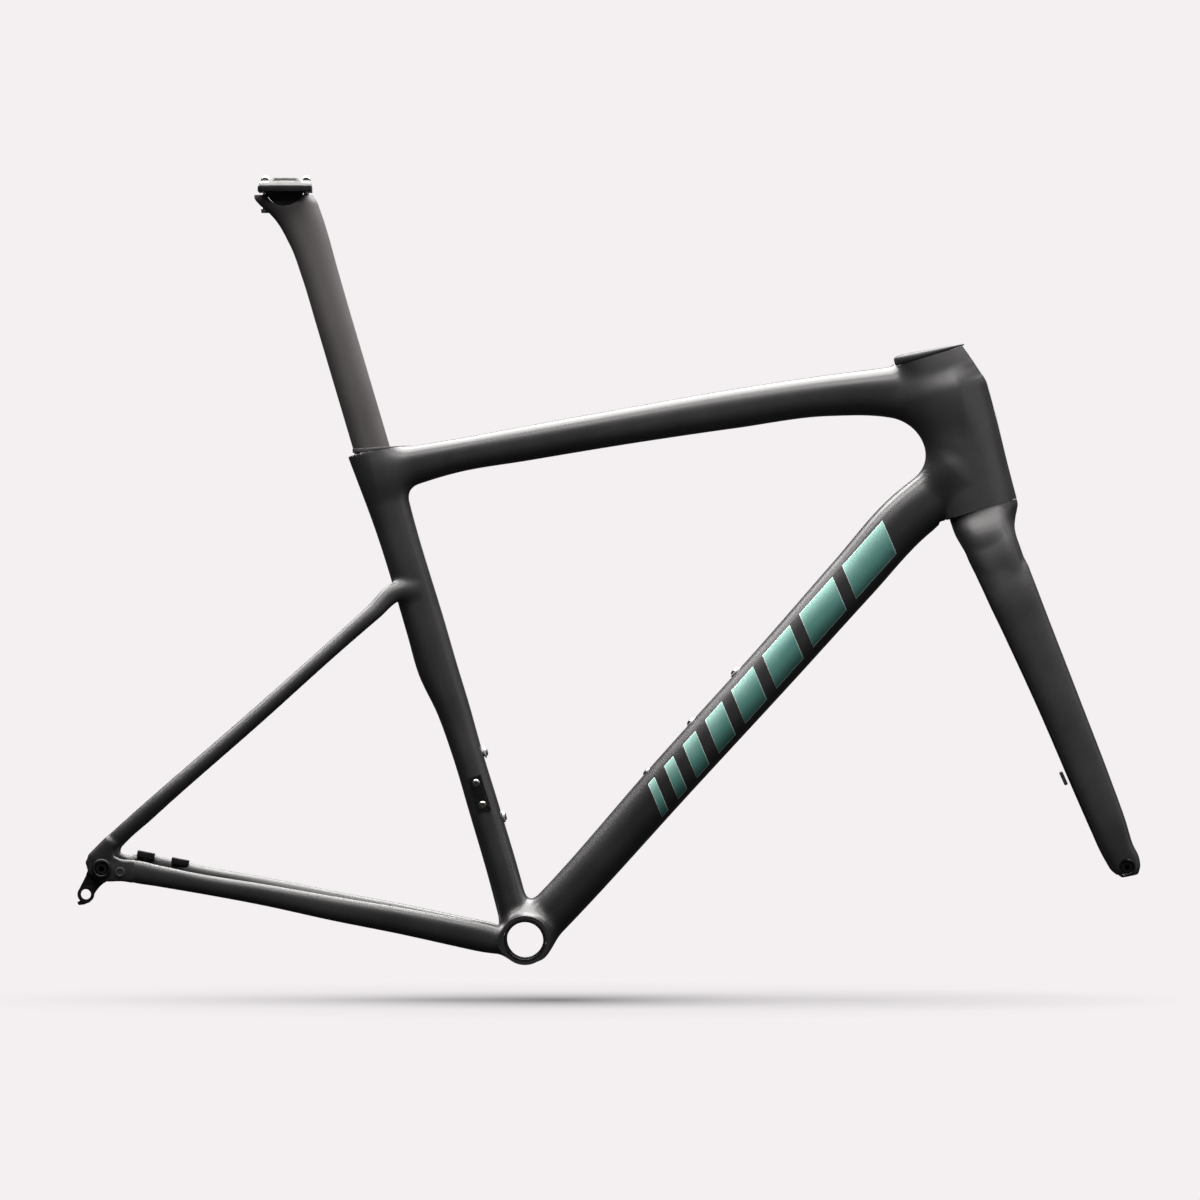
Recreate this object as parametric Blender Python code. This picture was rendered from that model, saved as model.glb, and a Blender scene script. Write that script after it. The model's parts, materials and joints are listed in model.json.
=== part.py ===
"""Road bicycle frameset: frame, fork, seatpost and thru-axles, each piece its own solid.

Lengths are written in millimetres and scaled to metres when a mesh is made.
+X points forward, +Y to the rider's left, +Z up; the origin is the bottom bracket's centre.
"""
import math

import bmesh
import bpy
from mathutils import Vector

# ---------------------------------------------------------------- driving dimensions (mm)
MM = 0.001
GAP = 0.3                      # clearance between pieces that touch

BB_HALF_WIDTH = 34.0           # 68 mm threaded bottom bracket shell
BB_OUTER_R = 23.5
SLEEVE_OUTER_R = 20.2
SLEEVE_BORE_R = 17.45

REAR_AXLE = (-403.5, 69.7)     # 410 mm chainstays, 70 mm drop
FRONT_AXLE = (575.4, 70.7)
REAR_HALF_SPACING = 71.0       # 142 mm rear hub
FRONT_HALF_SPACING = 50.0      # 100 mm front hub
AXLE_R = 6.0
AXLE_HOLE_R = 6.25

STEERING_TILT = 17.0           # degrees back from vertical, a 73 degree head angle
STEERING_N = 528.0             # distance of the steering axis forward of the bottom bracket
HEAD_LOW = 267.0               # lower and upper faces of the head tube, along the steering axis
HEAD_HIGH = 422.0
CROWN_SPLIT = 222.0            # where crown and blades meet, along the steering axis
STEERER_TOP = 423.0
LOWER_BEARING_R = 24.5
UPPER_BEARING_R = 20.9
STEERER_TOP_R = 14.3
STEERER_LOW_R = 17.4
STEERER_BORE_R = 12.0

SEAT_TILT = 16.5               # degrees back from vertical, a 73.5 degree seat angle
SEAT_REF = (-151.0, 484.0)     # a point of the seat axis
POST_DEPTH = 34.6
POST_WIDTH = 27.2
POST_CLEARANCE = 0.2
SEAT_TUBE_DEPTH = 38.4
SEAT_TUBE_WIDTH = 31.4
POST_BOTTOM = -131.0           # heights along the seat axis, from SEAT_REF
POST_STRAIGHT_TOP = 115.0
POST_BORE_BOTTOM = -218.0

CLAMP_PIVOT = (-231.0, 723.2)  # axis of the rail clamp's half-round seat
CLAMP_R = 18.7
RAIL_HALF_SPACING = 22.0       # saddle rails 44 mm apart
RAIL_R = 3.6
RAIL_Z = 722.9
CRADLE_LENGTH = (-256.0, -204.8)  # rear and front ends of the rail clamp's two halves
PLATE_LENGTH = (-255.0, -204.8)
CRADLE_LOW = 717.6                # underside of the cradle's flat part
PLATE_HIGH = 730.8                # top of the clamp plate
NUT_Z = 728.2                     # axis height of the barrel nuts
NUT_R = 4.2
CLAMP_BOLTS = {"rear": (-249.3, 700.5), "front": (-210.0, 694.0)}   # station and lower end

HANGER_EYE = (-418.5, 45.3)
WIRE_PORT = (-385.8, 66.3)

TUBE_SIDES = 16
STAY_SIDES = 12
ROUND_SIDES = 24
HEAD_SIDES = 22
BOLT_SIDES = 10


# ---------------------------------------------------------------- frames of reference
class Frame:
    """An origin with three unit directions u, v, w, where w is the axis of turned pieces."""

    def __init__(self, origin, u, w):
        self.origin = Vector(origin)
        self.u = Vector(u).normalized()
        self.w = Vector(w).normalized()
        self.v = self.w.cross(self.u)

    def at(self, u, v, w):
        return self.origin + self.u * u + self.v * v + self.w * w

    def shifted(self, u, v, w):
        return Frame(self.at(u, v, w), self.u, self.w)


def tilted_frame(x, z, degrees):
    """w leans back from vertical by the angle, u points forward and v to the left."""
    lean = math.radians(degrees)
    forward = (math.cos(lean), 0.0, math.sin(lean))
    upward = (-math.sin(lean), 0.0, math.cos(lean))
    return Frame((x, 0.0, z), forward, upward)


def cross_frame(x, z, y=0.0):
    """w points to the left, for pieces turned about an axle."""
    return Frame((x, y, z), (0.0, 0.0, 1.0), (0.0, 1.0, 0.0))


STEERING = tilted_frame(0.0, 0.0, STEERING_TILT)
STEERER = STEERING.shifted(STEERING_N, 0.0, 0.0)
SEAT = tilted_frame(SEAT_REF[0], SEAT_REF[1], SEAT_TILT)
WORLD = Frame((0.0, 0.0, 0.0), (1.0, 0.0, 0.0), (0.0, 0.0, 1.0))


# ---------------------------------------------------------------- materials
def make_material(name, colour, roughness, metallic):
    material = bpy.data.materials.new(name)
    material.use_nodes = True
    shader = material.node_tree.nodes["Principled BSDF"]
    shader.inputs["Base Color"].default_value = (*colour, 1.0)
    shader.inputs["Roughness"].default_value = roughness
    shader.inputs["Metallic"].default_value = metallic
    return material


FINISHES = {
    "carbon": ((0.022, 0.021, 0.022), 0.42, 0.0),
    "post_carbon": ((0.060, 0.054, 0.056), 0.50, 0.0),
    "black_alloy": ((0.020, 0.020, 0.021), 0.35, 0.9),
    "grey_alloy": ((0.30, 0.30, 0.31), 0.32, 1.0),
    "steel": ((0.42, 0.41, 0.40), 0.25, 1.0),
    "rubber": ((0.012, 0.012, 0.012), 0.75, 0.0),
    "cover": ((0.016, 0.016, 0.017), 0.40, 0.0),
}


# ---------------------------------------------------------------- meshes
def new_object(name, mesh, finish):
    scene_object = bpy.data.objects.new(name, mesh)
    bpy.context.scene.collection.objects.link(scene_object)
    if finish is None:
        scene_object.hide_render = True
        scene_object.display_type = "WIRE"
    else:
        mesh.materials.append(make_material(name, *FINISHES[finish]))
        mesh.shade_smooth()
        mesh.set_sharp_from_angle(angle=math.radians(32.0))
    return scene_object


def mesh_from(name, bm, finish):
    bmesh.ops.triangulate(bm, faces=bm.faces)
    bmesh.ops.recalc_face_normals(bm, faces=bm.faces)
    mesh = bpy.data.meshes.new(name)
    bm.to_mesh(mesh)
    bm.free()
    return new_object(name, mesh, finish)


def set_origin(piece, point):
    """Puts the object's origin on a point given in mm, leaving its surface where it is."""
    offset = Vector(point) * MM
    for vertex in piece.data.vertices:
        vertex.co -= offset
    piece.location = offset


def add_ring(bm, points):
    return [bm.verts.new(point * MM) for point in points]


def bridge(bm, ring_a, ring_b):
    count = len(ring_a)
    for i in range(count):
        j = (i + 1) % count
        bm.faces.new((ring_a[i], ring_a[j], ring_b[j], ring_b[i]))


def loft(name, rings, finish):
    """A closed solid through rings of points, with flat ends."""
    bm = bmesh.new()
    made = [add_ring(bm, ring) for ring in rings]
    for ring_a, ring_b in zip(made, made[1:]):
        bridge(bm, ring_a, ring_b)
    bm.faces.new(made[0])
    bm.faces.new(made[-1])
    return mesh_from(name, bm, finish)


def tube(name, outer, inner, finish, closed_start=False, closed_end=False):
    """A hollow loft: outer and inner rings joined at the open ends, capped at closed ones."""
    bm = bmesh.new()
    made_outer = [add_ring(bm, ring) for ring in outer]
    made_inner = [add_ring(bm, ring) for ring in inner]
    for made in (made_outer, made_inner):
        for ring_a, ring_b in zip(made, made[1:]):
            bridge(bm, ring_a, ring_b)
    for index, closed in ((0, closed_start), (-1, closed_end)):
        if closed:
            bm.faces.new(made_outer[index])
            bm.faces.new(made_inner[index])
        else:
            bridge(bm, made_outer[index], made_inner[index])
    return mesh_from(name, bm, finish)


def turned(name, frame, profile, finish, sides=ROUND_SIDES):
    """Turns a closed (radius, height) outline about the frame's w axis."""
    bm = bmesh.new()
    made = []
    for radius, height in profile:
        if radius == 0.0:
            made.append([bm.verts.new(frame.at(0.0, 0.0, height) * MM)])
            continue
        ring = []
        for i in range(sides):
            angle = 2.0 * math.pi * i / sides
            ring.append(frame.at(radius * math.cos(angle), radius * math.sin(angle), height))
        made.append(add_ring(bm, ring))
    for ring_a, ring_b in zip(made, made[1:] + made[:1]):
        if len(ring_a) == 1 and len(ring_b) == 1:
            continue
        for i in range(sides):
            j = (i + 1) % sides
            corners = [ring_a[i % len(ring_a)], ring_a[j % len(ring_a)],
                       ring_b[j % len(ring_b)], ring_b[i % len(ring_b)]]
            bm.faces.new(list(dict.fromkeys(corners)))
    return mesh_from(name, bm, finish)


def prism(name, frame, outline, low, high, finish):
    """Extrudes a (u, v) outline along the frame's w axis."""
    return loft(name, [[frame.at(u, v, w) for u, v in outline] for w in (low, high)], finish)


def side_plate(name, outline, y_low, y_high, finish):
    """Extrudes an (x, z) outline across the bicycle."""
    rings = [[Vector((x, y, z)) for x, z in outline] for y in (y_low, y_high)]
    return loft(name, rings, finish)


def box(name, frame, u, v, w, finish=None):
    outline = [(u[0], v[0]), (u[1], v[0]), (u[1], v[1]), (u[0], v[1])]
    return prism(name, frame, outline, w[0], w[1], finish)


def rod(name, frame, radius, low, high, finish=None, sides=BOLT_SIDES):
    return turned(name, frame, [(0.0, low), (radius, low), (radius, high), (0.0, high)], finish, sides)


def unite(target, *tools):
    for tool in tools:
        modifier = target.modifiers.new(tool.name, "BOOLEAN")
        modifier.object = tool
        modifier.operation = "UNION"


def cut(target, *tools):
    """Adds tools to the target's cutters, which one Boolean takes away together."""
    modifier = target.modifiers.get("cutters")
    if modifier is None:
        cutters = bpy.data.collections.new(f"{target.name}_cutters")
        bpy.context.scene.collection.children.link(cutters)
        modifier = target.modifiers.new("cutters", "BOOLEAN")
        modifier.operand_type = "COLLECTION"
        modifier.collection = cutters
    for tool in tools:
        modifier.collection.objects.link(tool)


def arc(centre, radius, start, end, count):
    """Points of a circular arc, angles in degrees."""
    points = []
    for i in range(count + 1):
        angle = math.radians(start + (end - start) * i / count)
        points.append((centre[0] + radius * math.cos(angle), centre[1] + radius * math.sin(angle)))
    return points


def hexagon(radius):
    return [(radius * math.cos(math.radians(60 * i)), radius * math.sin(math.radians(60 * i)))
            for i in range(6)]


# ---------------------------------------------------------------- tube sections
def section(centre, half_depth, half_width, power, taper, sides):
    """A superellipse ring; half_depth is a vector, width runs along Y, taper narrows the top."""
    ring = []
    for i in range(sides):
        angle = 2.0 * math.pi * (i + 0.5) / sides
        c, s = math.cos(angle), math.sin(angle)
        up = math.copysign(abs(c) ** (2.0 / power), c)
        side = math.copysign(abs(s) ** (2.0 / power), s) * (1.0 - taper * up)
        ring.append(centre + half_depth * up + Vector((0.0, half_width * side, 0.0)))
    return ring


def smooth(stations, steps):
    """Catmull-Rom values between stations, each station being a tuple of numbers."""
    padded = [stations[0], *stations, stations[-1]]
    result = []
    for a, b, c, d in zip(padded, padded[1:], padded[2:], padded[3:]):
        for step in range(steps):
            t = step / steps
            result.append(tuple(
                0.5 * (2 * q + (r - p) * t + (2 * p - 5 * q + 4 * r - s) * t ** 2
                       + (3 * q - p - 3 * r + s) * t ** 3)
                for p, q, r, s in zip(a, b, c, d)))
    result.append(tuple(stations[-1]))
    return result


def side_rings(stations, steps, grow, power, taper=0.0, sides=TUBE_SIDES):
    """Rings from (top x, top z, bottom x, bottom z, y, width) stations, grown by a margin."""
    rings = []
    for top_x, top_z, low_x, low_z, y, width in smooth(stations, steps):
        top = Vector((top_x, y, top_z))
        low = Vector((low_x, y, low_z))
        half = (top - low) / 2.0
        half = half.normalized() * (half.length + grow)
        rings.append(section((top + low) / 2.0, half, width / 2.0 + grow, power, taper, sides))
    return rings


def mirrored(stations):
    return [(a, b, c, d, -y, width) for a, b, c, d, y, width in stations]


# ---------------------------------------------------------------- outlines of the tubes (mm)
# Each station is the upper edge, the lower edge, the centre's y and the width.
TOP_TUBE = [
    (-150, 466, -140, 424, 0, 27),
    (-115, 472.5, -106, 436, 0, 27),
    (-70, 480, -66, 448, 0, 28),
    (0, 493, 4, 460, 0, 30),
    (100, 511, 104, 476.5, 0, 32),
    (200, 528.5, 203, 491, 0, 33),
    (290, 542, 292, 502.5, 0, 35),
    (345, 549, 350, 501, 0, 37),
    (378, 554, 386, 492, 0, 38),
    (410, 556, 420, 486, 0, 36),
]
TOP_TUBE_SOLID_STATIONS = 2    # stations before the hollow begins, around the wedge pocket
DOWN_TUBE = [
    (-15.5, 14, 15.5, -14, 0, 44),
    (21, 52, 52, 24, 0, 46),
    (123.5, 169, 157, 139, 0, 50),
    (228.5, 285.5, 263, 254, 0, 50),
    (297, 364, 333, 331, 0, 48),
    (348, 422, 386, 388, 0, 47),
    (398, 462, 436, 424, 0, 45),
]
SEAT_TUBE_LOW = [              # below the straight part: rear edge, front edge, y, width
    (-102, 254, -65.5, 265, 0, 31.4),
    (-84, 216, -53.5, 225.5, 0, 32),
    (-70, 177, -42.5, 186, 0, 34),
    (-53, 120, -25, 129, 0, 37),
    (-36, 62, -7.5, 71, 0, 42),
    (-19.5, -1.5, 9.5, 7.5, 0, 46),
]
CHAINSTAY = [
    (-371, 79, -373, 56.5, 75, 8.5),
    (-350, 73, -353, 53, 71.5, 11),
    (-315, 65.5, -319, 47, 61, 13),
    (-247, 54, -251, 34, 46, 14),
    (-180, 42, -184, 19, 35, 14),
    (-115, 31, -120, 6, 27.5, 15),
    (-60, 21, -66, -6, 25, 17),
    (-38, 17, -43, -11, 24, 18),
    (2, 5, -6, -15, 23, 20),
]
SEATSTAY = [
    (-396, 102.6, -386.3, 91.7, 75, 8.5),
    (-375, 121.5, -365, 110.5, 73.5, 9.5),
    (-354, 140, -344.5, 129, 70.5, 10.5),
    (-266, 216.5, -256.5, 206, 53, 11),
    (-181, 292.5, -171.5, 282, 33, 11),
    (-150, 321, -140, 309, 24.5, 12),
    (-128, 342, -121, 325, 15, 13),
    (-104, 343, -102, 328, 8, 11),
]
HEAD_TUBE = [                  # along the axis, rear edge, front edge, width
    (267, 499, 575, 57),
    (300, 500, 576.5, 54),
    (345, 501, 579, 51),
    (385, 501.5, 580.5, 49),
    (395, 501.5, 578.5, 48.5),
    (422, 502, 569, 46),
]
CROWN = [
    (222.3, 511, 562, 80),
    (236, 507.5, 564.5, 76),
    (250, 506.5, 568, 67),
    (262, 507.5, 575, 58),
    (266.4, 508.5, 574, 56),
]
FORK_BLADE = [                 # rear edge, front edge, y, width
    (424, 361, 472.6, 375.9, 31, 18),
    (438, 331, 482, 349.5, 34, 17.5),
    (456.5, 293, 497.5, 310.5, 38, 16.5),
    (492, 216.5, 528, 231.5, 45, 15),
    (526, 140, 558, 153.5, 51.5, 13.5),
    (544, 102, 573.5, 114, 55.5, 13),
    (555, 83, 581.5, 94, 56, 13),
    (563.5, 68.5, 588.5, 76, 56, 13),
    (571.5, 60.4, 586.5, 65, 56, 13),
]
BLADE_HOLLOW_STATIONS = 5
DROPOUT = [
    (-396.5, 102), (-417, 83), (-419.5, 76), (-416, 65), (-407, 58), (-396, 57.3),
    (-384, 57.8), (-373.3, 56.2), (-371.3, 79.4), (-380.5, 87), (-386.7, 91.3),
]
POST_HEAD = [                  # rear edge, front edge, y, width
    (-214, 635, -180.3, 645, 0, 27.2),
    (-226, 667, -189.3, 677.5, 0, 27.5),
    (-243, 694.5, -197, 701, 0, 29),
    (-256.5, 707, -200.5, 709.5, 0, 31),
    (-259.5, 712, -203, 715, 0, 31),
]


# ---------------------------------------------------------------- frame
def head_rings(grow):
    rings = []
    for along, rear, front, width in HEAD_TUBE:
        centre = STEERING.at((rear + front) / 2.0, 0.0, along)
        half = STEERING.u * ((front - rear) / 2.0 + grow)
        rings.append(section(centre, half, width / 2.0 + grow, 2.3, 0.24, HEAD_SIDES))
    return rings


def seat_section(depth, width, height, grow=0.0):
    half = SEAT.u * (depth / 2.0 + grow)
    return section(SEAT.at(0.0, 0.0, height), half, width / 2.0 + grow, 2.5, 0.1, TUBE_SIDES)


def lower_seat_rings(grow):
    """The seat tube's lower stations, with the front edge as the section's top."""
    swapped = [(c, d, a, b, y, width) for a, b, c, d, y, width in SEAT_TUBE_LOW]
    return side_rings(swapped, 1, grow, 2.5, 0.1)


def seat_top_ring(grow):
    """The mouth of the seat tube, on the sloping plane that the rubber seal covers."""
    centre = Vector((-145.6, 0.0, 469.3))
    half = Vector((19.8, 0.0, 2.75))
    half = half.normalized() * (half.length + grow)
    return section(centre, half, SEAT_TUBE_WIDTH / 2.0 + grow, 2.5, 0.1, TUBE_SIDES)


def seat_outer_rings(grow):
    straight = [seat_section(SEAT_TUBE_DEPTH, SEAT_TUBE_WIDTH, t, grow) for t in (-60.0, -190.0)]
    return [seat_top_ring(grow), *straight, *lower_seat_rings(grow)]


def make_frame_tubes():
    head_solid = loft("head_tube_envelope", head_rings(GAP), None)
    seat_solid = loft("seat_tube_envelope", seat_outer_rings(GAP), None)
    shell_solid = rod("bottom_bracket_envelope", cross_frame(0.0, 0.0), BB_OUTER_R + GAP,
                      -60.0, 60.0, sides=ROUND_SIDES)
    floor = box("crown_plane", STEERING, (497.0, 620.0), (-60.0, 60.0), (200.0, HEAD_LOW))

    head = loft("head_tube", head_rings(0.0), "carbon")
    bore = turned("head_tube_bore", STEERER, [
        (0.0, HEAD_LOW - 5.0), (LOWER_BEARING_R + 0.15, HEAD_LOW - 5.0),
        (LOWER_BEARING_R + 0.15, HEAD_LOW + 8.5), (21.5, HEAD_LOW + 9.5),
        (18.5, HEAD_HIGH - 12.0), (18.5, HEAD_HIGH - 9.5),
        (UPPER_BEARING_R + 0.15, HEAD_HIGH - 9.0), (UPPER_BEARING_R + 0.15, HEAD_HIGH + 5.0),
        (0.0, HEAD_HIGH + 5.0)], None)
    cut(head, bore)

    top_outer = side_rings(TOP_TUBE, 1, 0.0, 2.6)
    top_inner = side_rings(TOP_TUBE, 1, -2.2, 2.6)[TOP_TUBE_SOLID_STATIONS:]
    top = tube("top_tube", top_outer, top_inner, "carbon", closed_start=True)
    wedge_pocket = box("wedge_pocket", SEAT, (12.0, 30.0), (-9.2, 9.2), (-54.0, 12.0))
    cut(top, head_solid, seat_solid, wedge_pocket)

    down = tube("down_tube", side_rings(DOWN_TUBE, 1, 0.0, 2.6),
                side_rings(DOWN_TUBE, 1, -2.2, 2.6), "carbon")
    cut(down, shell_solid, head_solid, floor, seat_solid)

    seat = loft("seat_tube", seat_outer_rings(0.0), "carbon")
    hollow_rings = [seat_section(POST_DEPTH, POST_WIDTH, t, POST_CLEARANCE)
                    for t in (10.0, POST_BORE_BOTTOM)]
    hollow = loft("seat_tube_hollow", [*hollow_rings, *lower_seat_rings(-4.6)[1:]], None)
    cut(seat, hollow, wedge_pocket, shell_solid)
    return {"head": head, "top": top, "down": down, "seat": seat,
            "seat_solid": seat_solid, "shell_solid": shell_solid}


def make_bottom_bracket():
    frame = cross_frame(0.0, 0.0)
    turned("bottom_bracket_shell", frame, [
        (SLEEVE_OUTER_R + GAP, -BB_HALF_WIDTH), (BB_OUTER_R, -BB_HALF_WIDTH),
        (BB_OUTER_R, BB_HALF_WIDTH), (SLEEVE_OUTER_R + GAP, BB_HALF_WIDTH)], "carbon")
    turned("bottom_bracket_sleeve", frame, [
        (SLEEVE_BORE_R + 0.6, -BB_HALF_WIDTH), (SLEEVE_OUTER_R, -BB_HALF_WIDTH),
        (SLEEVE_OUTER_R, BB_HALF_WIDTH), (SLEEVE_BORE_R + 0.6, BB_HALF_WIDTH),
        (SLEEVE_BORE_R, BB_HALF_WIDTH - 0.6), (SLEEVE_BORE_R, -BB_HALF_WIDTH + 0.6)], "black_alloy")


def make_stays(solids):
    for side, turn in (("left", list), ("right", mirrored)):
        chainstay = tube(f"chainstay_{side}", side_rings(turn(CHAINSTAY), 1, 0.0, 3.0, 0.0, STAY_SIDES),
                         side_rings(turn(CHAINSTAY), 1, -1.8, 3.0, 0.0, STAY_SIDES), "carbon")
        cut(chainstay, solids["shell_solid"], solids["seat_solid"])
        seatstay = tube(f"seatstay_{side}", side_rings(turn(SEATSTAY), 1, 0.0, 2.5, 0.0, STAY_SIDES),
                        side_rings(turn(SEATSTAY), 1, -1.7, 2.5, 0.0, STAY_SIDES), "carbon")
        cut(seatstay, solids["seat_solid"])
        solids[f"chainstay_{side}"] = chainstay


def make_dropouts():
    axle = cross_frame(*REAR_AXLE)
    left = side_plate("dropout_left", DROPOUT, REAR_HALF_SPACING, 79.0, "carbon")
    cut(left, rod("axle_hole_left", axle, AXLE_HOLE_R, 60.0, 90.0, sides=ROUND_SIDES))
    right = side_plate("dropout_right", DROPOUT, -80.0, -75.3, "carbon")
    cut(right, rod("hanger_boss_hole", axle, 8.1, -90.0, -60.0, sides=ROUND_SIDES),
        rod("wire_port_hole", cross_frame(*WIRE_PORT), 3.5, -90.0, -60.0))
    return left


def make_hanger():
    axle = cross_frame(*REAR_AXLE)
    eye = cross_frame(*HANGER_EYE)
    outline = [*arc(REAR_AXLE, 12.0, -15.0, 165.0, 14), (-419.0, 62.0),
               *arc(HANGER_EYE, 8.0, 150.0, 300.0, 10), (-409.0, 46.0), (-404.0, 53.0), (-396.5, 58.5)]
    hanger = side_plate("derailleur_hanger", outline, -75.0, -REAR_HALF_SPACING, "black_alloy")
    boss = rod("hanger_eye_boss", eye, 8.0, -79.0, -73.0, sides=ROUND_SIDES)
    stop = side_plate("hanger_stop", [(-420.0, 41.0), (-426.5, 37.5), (-425.5, 34.5), (-416.0, 38.5)],
                      -78.5, -74.0, None)
    unite(hanger, boss, stop)
    cut(hanger, rod("hanger_eye_hole", eye, 4.9, -90.0, -60.0, sides=ROUND_SIDES),
        rod("hanger_axle_hole", axle, AXLE_HOLE_R, -90.0, -60.0, sides=ROUND_SIDES))
    turned("hanger_nut", axle, [
        (AXLE_HOLE_R, -83.0), (9.0, -83.0), (9.6, -82.2), (9.6, -80.3), (7.8, -80.3),
        (7.8, -75.3), (AXLE_HOLE_R, -75.3)], "black_alloy")
    turned("wire_grommet", cross_frame(*WIRE_PORT), [
        (1.6, -81.6), (4.2, -81.6), (4.8, -81.0), (4.8, -80.3), (3.2, -80.3), (3.2, -75.8),
        (1.6, -75.8)], "rubber", BOLT_SIDES)


def make_axle(name, centre, tip, shoulder, finish):
    """A thru-axle put in from the left: shaft, conical head and a blind hexagon socket."""
    frame = cross_frame(*centre)
    axle = turned(name, frame, [
        (0.0, tip), (AXLE_R - 0.8, tip), (AXLE_R, tip + 0.8), (AXLE_R, shoulder),
        (8.8, shoulder), (9.4, shoulder + 0.8), (8.6, shoulder + 4.0), (0.0, shoulder + 4.0)],
        finish, 24)
    cut(axle, prism(f"{name}_socket", frame, hexagon(3.4), shoulder - 4.0, shoulder + 8.0, None),
        prism(f"{name}_tip_socket", frame, hexagon(3.0), tip - 4.0, tip + 7.0, None))
    set_origin(axle, (centre[0], 0.0, centre[1]))


def button_bolt(name, frame, head_r, head_h, shank_r, length, finish="steel"):
    """A domed socket screw whose head sits above the frame's origin, shank along -w."""
    bolt = turned(name, frame, [
        (0.0, -length), (shank_r, -length), (shank_r, 0.0), (head_r, 0.0),
        (head_r, head_h * 0.35), (head_r * 0.72, head_h), (0.0, head_h)], finish, BOLT_SIDES)
    socket = prism(f"{name}_socket", frame, hexagon(head_r * 0.42), head_h * 0.35, head_h + 3.0, None)
    cut(bolt, socket)
    return bolt


def make_bottle_bolts(tubes):
    down_normal = Vector((-0.752, 0.0, 0.659))
    down_along = Vector((0.659, 0.0, 0.752))
    middle = Vector((160.5, 0.0, 208.0))
    for index, offset in enumerate((-64.0, 0.0, 64.0), 1):
        frame = Frame(middle + down_along * offset, down_along, down_normal)
        seat_boss_and_bolt(f"down_tube_{index}", frame, tubes["down"])
    for index, point in enumerate(((-40.0, 0.0, 180.0), (-22.0, 0.0, 118.0)), 1):
        frame = Frame(point, (-0.29, 0.0, 0.957), (0.957, 0.0, 0.29))
        seat_boss_and_bolt(f"seat_tube_{index}", frame, tubes["seat"])


def seat_boss_and_bolt(place, frame, host):
    """A threaded rivet nut pressed into the tube wall, with the bottle cage bolt in it."""
    turned(f"bottle_boss_{place}", frame, [
        (2.8, -9.0), (4.3, -9.0), (4.3, 0.3), (6.0, 0.3), (6.0, 2.0), (4.8, 2.0), (4.8, 1.2), (2.8, 1.2)],
        "grey_alloy", BOLT_SIDES)
    hole = rod(f"boss_hole_{place}", frame, 4.6, -12.0, 0.05)
    spot_face = rod(f"boss_spot_face_{place}", frame, 6.4, 0.0, 10.0)
    cut(host, hole, spot_face)
    button_bolt(f"bottle_bolt_{place}", frame.shifted(0.0, 0.0, 1.5), 4.4, 2.8, 2.5, 9.0)


def make_front_derailleur_mount(seat_tube):
    frame = tilted_frame(-43.8, 140.0, 16.5)
    recess = box("derailleur_mount_recess", frame, (-7.5, 7.5), (-30.0, -15.8), (-18.5, 18.5))
    cut(seat_tube, recess)
    plate = box("front_derailleur_mount", frame, (-6.6, 6.6), (-19.2, -16.1), (-17.5, 17.5), "black_alloy")
    bevel = plate.modifiers.new("edge", "BEVEL")
    bevel.width = 1.0 * MM
    bevel.segments = 2
    for name, height in (("upper", 11.0), ("lower", -11.0)):
        origin = frame.at(0.0, -18.3, height)
        screw_frame = Frame(origin, frame.u, (0.0, -1.0, 0.0))
        cut(plate, rod(f"mount_hole_{name}", screw_frame, 2.4, -8.0, 3.0),
            rod(f"mount_head_recess_{name}", screw_frame, 4.2, -GAP, 3.0))
        cut(seat_tube, rod(f"mount_thread_{name}", screw_frame, 2.4, -12.0, 2.0))
        button_bolt(f"front_derailleur_screw_{name}", screw_frame, 3.7, 2.0, 2.1, 7.0)


def make_rear_brake_pads(chainstay, dropout):
    """Two flat mount pads on the left chainstay's top, 34 mm between their bolts."""
    middle = Vector((-350.0, 68.5, 76.2))
    along = Vector((0.981, 0.0, -0.194))
    for name, offset in (("rear", -17.0), ("front", 17.0)):
        up = Vector((0.194, 0.0, 0.981))
        frame = Frame(middle + along * offset + Vector((0.0, -3.0 if offset > 0 else 3.0, 0.0)), along, up)
        pad = box(f"brake_pad_{name}", frame, (-8.5, 8.5), (-6.5, 6.5), (-3.0, 3.4), "black_alloy")
        cut(pad, rod(f"brake_pad_hole_{name}", frame, 2.7, -12.0, 12.0))
        seatings = box(f"brake_pad_seat_{name}", frame, (-8.8, 8.8), (-12.0, 12.0), (-3.3, 14.0))
        cut(chainstay, seatings)
        if name == "rear":
            cut(dropout, seatings)
        cut(chainstay, rod(f"brake_bolt_hole_{name}", frame, 2.7, -60.0, 10.0))


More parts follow.
